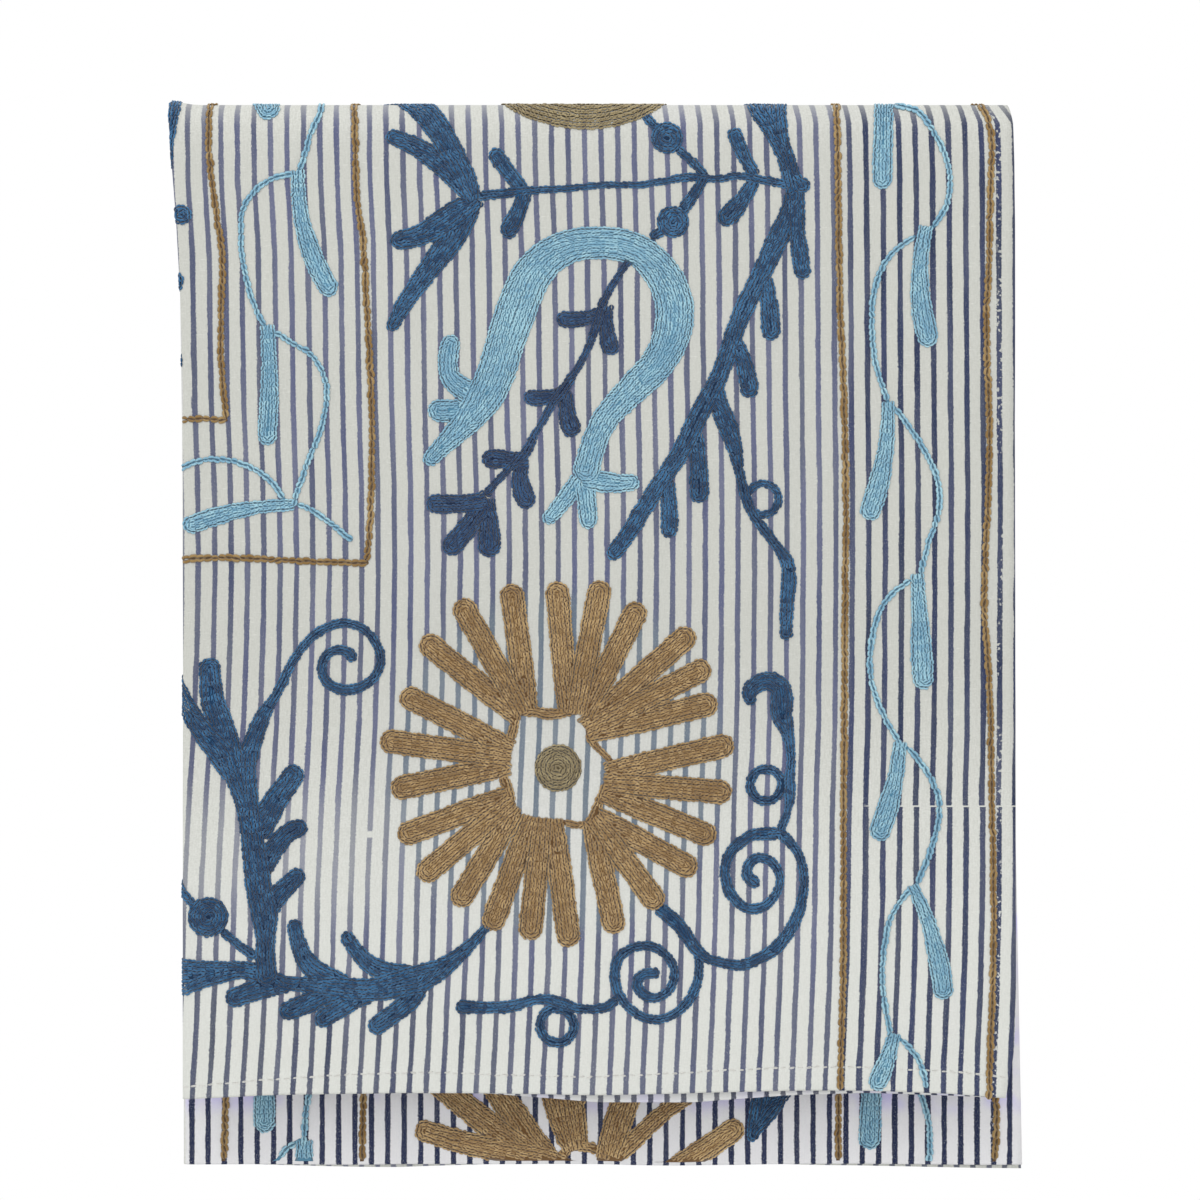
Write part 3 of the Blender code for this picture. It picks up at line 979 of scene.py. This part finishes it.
BORDER_LEAVES = table(
    Leaf,
    (262, 97, 274, 118, 24, 0.0, 1.0), (298, 170, 333, 295, 20, -0.08, 0.65),
    (268, 326, 267, 446, 19, 0.02, 0.75), (294, 505, 184, 528, 18, -0.05, 0.6),
    (884, 100, 882, 189, 20, 0.0, 0.95), (926, 226, 930, 347, 21, -0.07, 0.6),
    (888, 402, 867, 520, 21, 0.05, 0.55), (917, 574, 923, 689, 21, 0.0, 0.6),
    (900, 742, 876, 840, 21, 0.04, 0.6), (912, 885, 943, 998, 20, 0.05, 0.55),
    (894, 1034, 873, 1091, 19, 0.04, 0.65),
)


def leaf_work(leaf):
    """A leaf or finger: a bowed line from its root to its round tip, widest past its middle."""
    root = np.array([leaf.x, leaf.y], float)
    way = np.array([leaf.tip_x, leaf.tip_y], float) - root
    across = np.array([way[1], -way[0]])
    stops = ((0.0, leaf.root), (0.35, 0.45 + 0.5 * leaf.root), (0.7, 1.0), (1.0, 0.94))
    return filled([
        (*(root + t * way + 4 * t * (1 - t) * leaf.bow * across), leaf.width * wide) for t, wide in stops
    ])


def leaves(rows):
    return together([leaf_work(leaf) for leaf in rows])


stitch_piece("border_vines", leaves(BORDER_LEAVES) + chains(VINES, VINE_CHAIN), FRONT, sky_wool)

# The olive wool: the foot of a medallion that lies over the crown, and the flower's round eye.
olive_wool = wool("olive_wool", (62, 52, 32), (137, 122, 89), (164, 149, 112))
MEDALLION = (
    (503, 100, 6), (520, 102, 24), (548, 103, 42), (584, 103, 53), (620, 103, 44), (648, 102, 24),
    (665, 100, 6),
)
FLOWER_MIDDLE = (558, 768)
EYE_RADIUS = 23.5


def ring_work(x, y, radius, chain):
    """A ring of single chain."""
    turn = np.linspace(0, 2 * np.pi, 60)
    wide = np.full(len(turn), float(chain.width))
    path = np.stack([x + radius * np.cos(turn), y + radius * np.sin(turn), SINGLE_BED * wide], axis=1)
    return Work([stitch_row(path[:, :2], wide, chain)], [path])


def disc_work(x, y, radius):
    """A disc of chain in rings, from the rim to the middle, on one round bed."""
    width = FILL_CHAIN.width
    levels = range(int(radius / width))
    rings = [ring_work(x, y, radius - (level + 0.5) * width, FILL_CHAIN) for level in levels]
    bed = np.array([(x - 2, y, radius - 1.5), (x, y, radius - 1.0), (x + 2, y, radius - 1.5)])
    return Work(together(rings).rows, [bed])


medallion_work = filled(MEDALLION, round_start=True) + disc_work(*FLOWER_MIDDLE, EYE_RADIUS)
stitch_piece("medallion_and_eye", medallion_work, FRONT, olive_wool)

# The flower: eight groups of three finger petals round the eye, whose roots are joined by a line of chain.
petal_wool = wool("petal_wool", (78, 50, 22), (148, 118, 74), (188, 158, 110))
Petals = namedtuple("Petals", "turn spread before middle after root root_turn apart")
FLOWER = table(
    Petals,
    (120.5, 16.0, 189, 196, 191, 71, 122.3, 8),
    (77.0, 13.5, 187, 193, 185, 63, 72.4, 10),
    (34.0, 11.5, 193, 184, 173, 53, 50.3, 5),
    (-8.0, 16.0, 178, 176, 173, 54, -16.0, 12),
    (-53.7, 17.0, 173, 173, 175, 66, -54.2, 5),
    (-99.5, 13.3, 179, 175, 177, 58, -106.0, 12),
    (-141.5, 15.0, 172, 178, 175, 62, -143.5, 9),
    (171.0, 16.5, 169, 181, 175, 54, 168.3, 10),
)
PETAL_WIDTH = 23.2
PETAL_STOPS = ((-0.05, 0.85), (0.3, 1.0), (0.6, 1.0), (1.0, 1.03))  # how far along, and share of the width
OPENING_MORE = 1.5        # how much wider the chain round the opening is worked than it is charted
# The chain round the opening, from the upper left palm and anticlockwise, about the flower's middle.
OPENING = (
    (-42, 56, 10), (-44, 44, 8), (-47, 30, 8), (-53, 16, 9), (-58, 4, 9), (-55, -9, 8), (-50, -22, 9),
    (-47, -38, 9), (-44, -49, 6), (-32, -52, 6), (-12, -55, 9), (5, -54, 5), (19, -57, 5), (31, -54, 7),
    (38, -42, 8), (44, -28, 8), (50, -15, 8), (59, -1, 5), (49, 11, 5), (39, 21, 5), (32, 31, 7),
    (32, 46, 8), (29, 56, 7), (16, 58, 9), (2, 55, 9), (-12, 54, 9), (-25, 57, 9), (-42, 56, 10),
)


def flower_work(x, y):
    """Finger petals fan out from each group's root. Turns are in degrees, anticlockwise from the right."""
    work = Work()
    for group in FLOWER:
        angle = np.radians(group.root_turn)
        root = np.array([x + group.root * np.cos(angle), y - group.root * np.sin(angle)])
        for side, reach in ((0, group.middle), (1, group.before), (-1, group.after)):
            angle = np.radians(group.turn + side * group.spread)
            tip = np.array([x + reach * np.cos(angle), y - reach * np.sin(angle)])
            aside = np.radians(group.turn + side * 90)
            start = root + abs(side) * group.apart * np.array([np.cos(aside), -np.sin(aside)])
            work += filled([(*(start + t * (tip - start)), PETAL_WIDTH * wide) for t, wide in PETAL_STOPS])
    ring = [(x + right, y - up, wide + OPENING_MORE) for right, up, wide in OPENING]
    return work + filled(ring, round_end=False)


stitch_piece("flower", flower_work(*FLOWER_MIDDLE), FRONT, petal_wool)

# The dark-blue work: leafy branches, pods and thin scrolls round the flower, filled where they are broad and
# a single chain where they are thin. A stroke's points are x, y and width.
indigo_wool = wool("indigo_wool", (0, 24, 52), (6, 62, 103), (58, 114, 158))
TOP_SPRAY = table(
    Leaf,
    (526, 193, 493, 149, 16, 0.03, 0.9), (525, 192, 504, 237, 18, 0.04, 0.8),
    (755, 175, 733, 128, 15, 0.04, 0.8), (755, 178, 720, 223, 19, 0.06, 0.7),
)
TOP_FAN = (
    ((474, 200, 14), (468, 185, 20), (459, 165, 22), (448, 145, 24), (436, 126, 25), (424, 112, 24),
     (408, 101, 19), (388, 90, 18), (375, 84, 18)),
    ((472, 198, 16), (462, 185, 20), (448, 171, 21), (432, 157, 21), (412, 145, 18), (386, 134, 15)),
    ((476, 200, 16), (460, 210, 24), (440, 224, 25), (418, 236, 21), (390, 242, 18)),
    ((477, 200, 14), (462, 222, 24), (446, 246, 26), (430, 268, 21), (416, 288, 18), (403, 307, 16),
     (390, 331, 11)),
    ((704, 178, 10), (694, 194, 11), (672, 222, 12), (650, 238, 9)),
)
TOP_STEM = (
    (478, 196, 10), (500, 194, 9), (525, 191, 8), (545, 190, 7), (575, 188, 6), (605, 185, 6),
    (640, 185, 6), (665, 181, 7), (690, 177, 8), (715, 179, 7), (738, 176, 7), (757, 179, 8), (790, 185, 9),
)
POD_STALK = ((636, 106, 8), (667, 139, 9), (690, 160, 8), (708, 178, 9))
MAIN_BRANCH = (
    (794, 183, 22), (793, 205, 20), (784, 226, 21), (774, 246, 21), (765, 266, 20), (755, 287, 19),
    (745, 307, 19), (736, 328, 18), (729, 350, 18), (721, 372, 18), (711, 393, 19), (700, 413, 19),
    (690, 434, 19), (679, 455, 18), (665, 476, 17), (651, 497, 17), (638, 518, 17), (626, 537, 16),
    (609, 559, 15),
)
BRANCH_TOPS = (
    ((796, 190, 20), (787, 162, 17), (779, 140, 20), (772, 120, 30), (768, 108, 38), (764, 84, 46),
     (764, 70, 46)),
    ((790, 184, 16), (800, 185, 15), (810, 186, 14)),
    ((797, 200, 16), (797, 230, 16), (800, 255, 17), (804, 279, 16)),
)
BRANCH_LEAVES = table(
    Leaf,
    (764, 275, 771, 341, 19, 0.03, 0.8), (733, 335, 750, 398, 18, 0.05, 0.8),
    (695, 435, 699, 503, 19, 0.02, 0.85), (666, 475, 669, 538, 17, 0.02, 0.9),
)
TENDRIL = (
    (712, 385, 19.7), (720, 408, 19.7), (729, 430, 19.7), (735, 450, 14.7), (739, 470, 9.7),
    (744, 492, 9.7), (752, 512, 9.7), (763, 528, 9.7), (776, 545, 9.7), (787, 562, 12.7), (789, 580, 14.7),
    (787, 605, 13.7), (786, 640, 11.7),
)
LOOPS = ((763, 499, 15.5, 4.0), (766, 785, 16.0, 5.6), (557, 1024, 17.0, 5.8))
HOOK = (
    (753, 704, 9.8), (749, 693, 15), (757, 684, 17), (769, 681, 18.5), (780, 688, 20.8), (782, 701, 22.8),
    (782, 715, 20.8), (786, 727, 15.8), (789, 740, 10.8), (791, 758, 8.8), (790, 776, 9.8),
    (790, 794, 10.8), (788, 810, 7.8), (784, 822, 7.8), (778, 834, 10.8),
)
SPIRAL_UPPER = (
    (786, 834, 10.5), (765, 834, 12.7), (753, 835, 11.7), (737, 845, 10.7), (727, 859, 9.7),
    (725, 876, 9.7), (730, 892, 10.7), (740, 904, 9.7), (753, 909, 9.7), (766, 905, 9.7), (776, 894, 8.7),
    (780, 879, 7.7), (776, 867, 8.7), (767, 859, 9.7), (757, 858, 9.7), (749, 864, 9.7), (747, 873, 10.7),
    (751, 880, 11.7), (761, 883, 12.7),
)
OUTER_ARC = (
    (778, 832, 13.7), (788, 840, 10.7), (797, 851, 8.7), (803, 868, 8.7), (804, 885, 8.7), (800, 908, 10.7),
    (790, 931, 11.7), (775, 949, 12.7), (760, 958, 10.7), (742, 965, 10.7), (724, 963, 9.7),
    (706, 957, 9.7), (695, 947, 11.7), (682, 929, 13.7), (670, 916, 13.7), (655, 905, 13.7),
)
SPIRAL_LOWER = (
    (697, 948, 10.7), (699, 965, 8.7), (697, 982, 9.7), (690, 998, 9.7), (676, 1012, 8.7), (658, 1018, 8.7),
    (640, 1014, 8.7), (626, 1003, 8.7), (617, 988, 9.7), (615, 972, 10.7), (618, 958, 9.7), (630, 948, 8.7),
    (647, 945, 8.7), (662, 951, 8.7), (672, 963, 8.7), (674, 976, 8.7), (669, 989, 8.7), (658, 996, 8.7),
    (646, 995, 10.7), (637, 984, 10.7), (641, 975, 10.7), (650, 972, 10.7), (660, 973, 9.7),
)
TAIL = (
    (618, 996, 9.7), (606, 1005, 9.7), (590, 1007, 8.7), (575, 1006, 9.7), (562, 1002, 11.7),
    (548, 998, 9.7), (530, 1000, 9.7), (514, 1005, 11.7), (496, 1007, 10.7), (478, 1007, 11.7),
    (455, 1006, 14.7),
)
LOW_STEM = (
    (238, 755, 38), (242, 778, 30), (247, 800, 24), (251, 822, 22), (254, 845, 23), (257, 868, 25),
    (260, 892, 26), (265, 915, 26), (266, 935, 20), (266, 955, 19), (268, 985, 22),
)
LOW_FORK = (
    (158, 632, 12), (168, 660, 13), (178, 684, 14), (188, 706, 17), (202, 729, 21), (219, 750, 25),
    (238, 775, 28),
)
LOW_FINGER = ((240, 778, 20), (229, 745, 24), (220, 720, 25), (213, 700, 24), (211, 680, 22), (210, 657, 21))
LOW_TENDRIL = (
    (246, 778, 19.7), (250, 752, 19.7), (257, 732, 17.7), (264, 714, 14.7), (273, 700, 9.7),
    (284, 680, 8.7), (293, 661, 8.7), (308, 641, 8.7), (324, 629, 8.7), (343, 623, 8.7), (362, 628, 8.7),
    (375, 641, 8.7), (381, 660, 8.7), (376, 675, 8.7), (363, 686, 9.7), (345, 690, 10.7), (328, 683, 9.7),
    (322, 669, 9.7), (326, 656, 8.7), (336, 650, 8.7), (348, 652, 9.7), (354, 663, 12.7),
)
LOW_BRANCH = (
    (150, 976, 38), (172, 975, 37), (186, 974, 34), (202, 972, 27), (222, 970, 21), (242, 968, 17),
    (266, 974, 16), (288, 982, 13), (312, 984, 16), (340, 987, 21), (370, 989, 22), (398, 984, 27),
    (420, 978, 28), (440, 969, 21), (458, 956, 15), (474, 941, 11), (488, 925, 7),
)
LOW_FINGERS = (
    ((256, 838, 22), (265, 820, 26), (276, 800, 23), (287, 785, 22), (300, 766, 21)),
    ((258, 880, 20), (267, 860, 22), (278, 844, 20), (290, 832, 19), (307, 825, 17)),
    ((262, 925, 20), (271, 905, 22), (282, 891, 20), (292, 881, 18), (304, 871, 17)),
    ((300, 981, 12), (276, 984, 20), (254, 989, 20), (226, 998, 18)),
    ((350, 986, 20), (322, 995, 20), (305, 1003, 20), (280, 1012, 17)),
    ((385, 987, 20), (355, 998, 20), (335, 1010, 20), (316, 1022, 17)),
    ((426, 979, 14), (412, 998, 19), (393, 1014, 19), (369, 1029, 17)),
    ((350, 985, 18), (325, 976, 22), (308, 962, 20), (299, 944, 16), (294, 918, 15)),
    ((420, 975, 24), (395, 973, 20), (372, 965, 18), (357, 951, 15), (344, 932, 13)),
    ((262, 966, 12), (245, 968, 16), (215, 971, 24), (192, 975, 29)),
    ((168, 866, 8), (185, 893, 8), (200, 908, 9)),
    ((218, 925, 9), (235, 940, 8), (258, 957, 11)),
)
PODS = ((667, 138, 16), (673, 222, 16), (209, 916, 20), (182, 215, 10))
FOLD_PEEKS = (
    ((176, 96, 11), (175, 110, 11), (171, 140, 7), (170, 168, 5)),
    ((176, 274, 9), (178, 283, 11), (176, 291, 9)),
    ((176, 355, 8), (178, 362, 9), (177, 368, 8)),
    ((172, 926, 7), (173, 938, 8), (172, 948, 7)),
)

SCROLL_CHAIN = Chain(4.0, 4.0)


def loop_work(x, y, radius, apart):
    """A small ring of two rows of chain, whose middle lines are this far apart, on one bed."""
    beds = ring_work(x, y, radius, SCROLL_CHAIN).beds
    rows = [ring_work(x, y, radius + side * apart / 2, SCROLL_CHAIN).rows[0] for side in (1, -1)]
    beds[0][:, 2] = (apart + 2) / 2
    return Work(rows, beds)


spray_work = together([disc_work(*pod) for pod in PODS]) + strokes(TOP_FAN + BRANCH_TOPS)
spray_work += strokes((TOP_STEM, POD_STALK)) + filled(MAIN_BRANCH, round_start=True)
spray_work += leaves(TOP_SPRAY + BRANCH_LEAVES) + filled(TENDRIL)
stitch_piece("upper_branches", spray_work, FRONT, indigo_wool)

scroll_work = strokes((HOOK, OUTER_ARC, SPIRAL_UPPER, SPIRAL_LOWER, TAIL), SCROLL_CHAIN, round_start=True)
scroll_work += together([loop_work(*loop) for loop in LOOPS])
stitch_piece("scrolls", scroll_work, FRONT, indigo_wool)

low_work = filled(LOW_STEM) + filled(LOW_FORK, round_end=False) + strokes((LOW_FINGER, LOW_BRANCH))
low_work += filled(LOW_TENDRIL, SCROLL_CHAIN) + strokes(LOW_FINGERS + FOLD_PEEKS)
stitch_piece("lower_branch", low_work, FRONT, indigo_wool)

# The horseshoe band of light blue with its frilled ends, and the dark sprig that grows through its opening.
navy_wool = wool("navy_wool", (4, 20, 46), (18, 54, 94), (46, 88, 132))
SPRIG_STEM = (
    (628, 262, 7), (615, 281, 7), (603, 303, 8), (592, 338, 8), (583, 358, 7), (575, 372, 8),
    (563, 390, 10), (553, 402, 9), (545, 418, 7), (536, 432, 7), (526, 452, 10), (510, 468, 8),
    (498, 480, 7), (484, 496, 9),
)
SPRIG_LEAVES = table(
    Leaf,
    (607, 309, 557, 318, 16, 0.10, 0.8), (607, 306, 614, 355, 17, -0.08, 0.8),
    (568, 388, 524, 396, 16, 0.12, 0.8), (566, 390, 574, 436, 19, -0.06, 0.7),
    (528, 459, 482, 458, 19, 0.02, 0.8), (524, 456, 531, 507, 20, -0.14, 0.7),
    (486, 500, 426, 503, 19, 0.04, 0.9), (484, 504, 445, 553, 21, 0.03, 0.9),
    (484, 500, 489, 557, 23, 0.03, 0.9), (488, 498, 464, 513, 20, 0.0, 1.0),
)
HORSESHOE = (
    (426, 464, 14), (440, 449, 18), (456, 433, 23), (471, 416, 30), (485, 396, 36), (497, 370, 38),
    (505, 343, 38), (513, 320, 40), (521, 298, 40), (532, 275, 39), (549, 257, 36), (572, 246, 33),
    (600, 243, 32), (625, 246, 32), (647, 257, 33), (664, 277, 36), (674, 303, 38), (674, 325, 38),
    (667, 347, 35), (654, 368, 33), (637, 385, 31), (620, 402, 28), (605, 420, 26), (595, 440, 25),
    (589, 460, 26), (583, 484, 28),
)
HORSESHOE_TIPS = (
    ((480, 396, 24), (462, 388, 22), (450, 376, 20), (448, 360, 20), (453, 335, 17)),
    ((480, 412, 24), (455, 411, 23), (428, 411, 20)),
    ((585, 478, 20), (610, 483, 20), (639, 482, 14)),
    ((584, 482, 20), (587, 505, 19), (589, 529, 17)),
    ((580, 480, 20), (566, 498, 17), (545, 523, 14)),
)
stitch_piece("sprig", filled(SPRIG_STEM) + leaves(SPRIG_LEAVES), FRONT, navy_wool)
horseshoe_work = filled(HORSESHOE, round_start=True) + strokes(HORSESHOE_TIPS)
stitch_piece("horseshoe", horseshoe_work, FRONT, sky_wool)

# The same design goes on along the inner layer of the back flap, which shows as a band below the front hem.
BAND_FRAMES = (
    ((226, 1080), (225, 1130), (223, 1172)),
    ((364, 1080), (363, 1130), (362, 1172)),
    ((839, 1080), (838, 1130), (838, 1172)),
    ((995, 1080), (996, 1125), (993, 1172)),
)
BAND_LEAVES = table(
    Leaf,
    (265, 1070, 264, 1133, 22, 0.0, 0.9), (305, 1140, 304, 1178, 20, 0.0, 0.8),
    (872, 1075, 869, 1150, 22, 0.0, 0.9),
)
BAND_VINES = (
    ((312, 1080), (306, 1112), (304, 1142)),
    ((300, 1140), (286, 1150), (270, 1172)),
    ((915, 1080), (928, 1120), (928, 1172)),
)
BAND_PETALS = (
    ((574, 1172, 19.5), (550, 1163, 25.5), (500, 1151, 23.5), (450, 1139, 22.5), (415, 1128, 21.5)),
    ((545, 1165, 25.5), (515, 1145, 27.5), (485, 1122, 26.5), (455, 1098, 24.5), (425, 1072, 23.5)),
    ((556, 1168, 23.5), (530, 1138, 27.5), (512, 1112, 27.5), (496, 1088, 25.5), (486, 1066, 25.5)),
    ((578, 1150, 21.5), (573, 1120, 25.5), (570, 1095, 27.5), (568, 1064, 25.5)),
    ((570, 1150, 15.5), (562, 1120, 25.5), (554, 1095, 25.5), (546, 1064, 25.5)),
    ((604, 1168, 20), (613, 1138, 26), (622, 1110, 27), (632, 1085, 25), (640, 1062, 22)),
    ((600, 1170, 17), (628, 1145, 18), (650, 1124, 17), (668, 1108, 17), (694, 1090, 19), (730, 1066, 20)),
    ((655, 1180, 23.5), (690, 1158, 23.5), (712, 1144, 23.5), (742, 1123, 22.5)),
    ((562, 1168, 10.5), (567, 1150, 9.5), (583, 1147, 9.5), (598, 1150, 10.5), (606, 1162, 11.5)),
)
BAND_WEDGE = ((776, 1076, 46), (768, 1100, 34), (760, 1118, 24), (754, 1130, 15), (751, 1141, 8))

stitch_piece("band_frames", chains(BAND_FRAMES, FRAME_CHAIN), BAND, brown_wool, FRAME_RISE)
stitch_piece("band_vines", leaves(BAND_LEAVES) + chains(BAND_VINES, VINE_CHAIN), BAND, sky_wool)
# a lighter copy of the petal wool, as painted light against the front flap's shade on the band
band_wool_painted_light = wool("band_petal_wool_painted_light", (92, 62, 30), (166, 134, 88), (204, 174, 124))
stitch_piece("band_flower", strokes(BAND_PETALS), BAND, band_wool_painted_light)
stitch_piece("band_wedge", filled(BAND_WEDGE), BAND, indigo_wool)

# The outer face of the back flap isn't in the photograph: the frame lines and borders go on over the crown,
# with a second flower and two plain branches between them.
REAR_FRAMES = (
    ((211, 96), (214, 300), (220, 600), (224, 1165)),
    ((354, 96), (358, 300), (362, 600), (362, 1165)),
    ((836, 96), (838, 400), (842, 700), (838, 1165)),
    ((977, 97), (980, 140), (984, 400), (990, 700), (994, 1165)),
)
REAR_PITCH = 168          # between the joints of a vine
REAR_SWING = 36           # how far it swings out between them
RearJoint = namedtuple("RearJoint", "x y side")
REAR_JOINTS = tuple(
    RearJoint(x, y, side)
    for x, first in ((289, 170), (911, 250))
    for y, side in zip(range(first, 1000, REAR_PITCH), (1, -1, 1, -1, 1))
)
REAR_LEAVES = tuple(Leaf(x, y, x - side * 22, y + 104, 18, side * 0.04, 0.6) for x, y, side in REAR_JOINTS)
REAR_VINES = tuple(
    tuple((x + side * REAR_SWING * np.sin(np.pi * t), y + REAR_PITCH * t) for t in np.linspace(0, 1, 5))
    for x, y, side in REAR_JOINTS
)
REAR_MIDDLE = (597, 620)
REAR_BRANCHES = (
    ((420, 300, 20), (500, 250, 22), (590, 235, 24), (690, 250, 22), (770, 310, 18)),
    ((430, 930, 18), (500, 985, 22), (590, 1005, 24), (690, 985, 22), (765, 925, 20)),
)
REAR_SPRIGS = tuple(
    Leaf(x, y, x + along, y + side * 62, 19, 0.06, 0.6)
    for x, y, along, side in (
        (470, 268, -34, -1), (540, 241, -30, -1), (620, 238, 30, -1), (700, 256, 34, -1),
        (500, 252, -26, 1), (590, 236, -10, 1), (680, 250, 24, 1),
        (470, 962, -34, 1), (540, 998, -30, 1), (620, 1002, 30, 1), (700, 980, 34, 1),
        (510, 988, -26, -1), (680, 984, 24, -1),
    )
)
stitch_piece("rear_frames", chains(REAR_FRAMES, FRAME_CHAIN), REAR, brown_wool, FRAME_RISE)
stitch_piece("rear_vines", leaves(REAR_LEAVES) + chains(REAR_VINES, VINE_CHAIN), REAR, sky_wool)
stitch_piece("rear_eye", disc_work(*REAR_MIDDLE, EYE_RADIUS), REAR, olive_wool)
stitch_piece("rear_flower", flower_work(*REAR_MIDDLE), REAR, petal_wool)
rear_work = strokes(REAR_BRANCHES, round_start=True) + leaves(REAR_SPRIGS)
stitch_piece("rear_branches", rear_work, REAR, indigo_wool)

# The hems are held by a running stitch of white sewing cotton, 9 to 14 mm above the edge.
thread = wool("white_thread", (206, 205, 198), (226, 225, 219), (236, 235, 230))
HEM_STITCH = Chain(1.6, 4.2)
HEM_STITCH_RISE = 0.7
FRONT_LINE = ((184, 1080), (260, 1077), (400, 1072), (560, 1074), (820, 1069), (1004, 1071))
REAR_LINE = ((190, 1128), (400, 1130), (600, 1127), (800, 1130), (1010, 1131))
for name, side, line in (("front_hem_stitch", FRONT, FRONT_LINE), ("rear_hem_stitch", REAR, REAR_LINE)):
    path = smooth_line(line)
    row = stitch_row(path, np.full(len(path), HEM_STITCH.width), HEM_STITCH)[::2]
    stitch_piece(name, Work([row]), side, thread, HEM_STITCH_RISE)

# The room: a round pale floor under the panel in an open white studio, with soft light from above and from
# the left.
FLOOR_HEIGHT = -0.80
FLOOR_RADIUS = 0.62

floor_turn = np.linspace(0, 2 * np.pi, 97)[:-1]
floor_rim = FLOOR_RADIUS * np.stack([np.cos(floor_turn), np.sin(floor_turn), 0 * floor_turn], axis=1)
floor_points = np.append(floor_rim, [[0, 0, 0]], axis=0) + (0, 0, FLOOR_HEIGHT)
rim_index = np.arange(len(floor_rim))
floor_faces = np.stack([rim_index, np.roll(rim_index, -1), np.full(len(rim_index), len(rim_index))], axis=1)
floor = in_scene("floor", flat_mesh("floor", floor_points, floor_faces))
floor_paint, _, floor_shader = new_material("floor_paint")
floor_shader.inputs["Base Color"].default_value = (0.86, 0.86, 0.86, 1)
floor_shader.inputs["Roughness"].default_value = 0.9
floor_shader.inputs["Specular IOR Level"].default_value = 0.0
floor.data.materials.append(floor_paint)

world = bpy.data.worlds.new("studio")
world.use_nodes = True
world.node_tree.nodes["Background"].inputs["Color"].default_value = (1, 1, 1, 1)
world.node_tree.nodes["Background"].inputs["Strength"].default_value = 1.0
bpy.context.scene.world = world
Lamp = namedtuple("Lamp", "name place size power")
LAMPS = table(
    Lamp,
    ("key", (-0.9, -1.3, 1.1), 0.9, 9.0),
    ("fill", (1.2, -1.6, 0.1), 1.4, 3.0),
    ("rear", (0.6, 1.6, 0.6), 1.2, 6.0),
)
LIT_PLACE = np.array([0, 0, -0.3])
for lamp in LAMPS:
    light = bpy.data.lights.new(lamp.name, "AREA")
    light.size = lamp.size
    light.energy = lamp.power
    holder = in_scene(lamp.name, light)
    holder.location = lamp.place
    aim = LIT_PLACE - np.array(lamp.place)
    rise = np.arctan2(aim[2], np.hypot(aim[0], aim[1]))
    holder.rotation_euler = (np.pi / 2 + rise, 0, np.arctan2(-aim[0], aim[1]))

# The camera stands square to the front flap, two metres off, level with its middle.
camera_data = bpy.data.cameras.new("camera")
camera_data.lens = 100
camera_data.sensor_width = 36
camera = in_scene("camera", camera_data)
camera.location = (EYE_ACROSS, -CROWN_RADIUS - EYE_DISTANCE, EYE_HEIGHT)
camera.rotation_euler = (np.pi / 2, 0, 0)
bpy.context.scene.camera = camera
bpy.context.scene.view_settings.view_transform = "Standard"
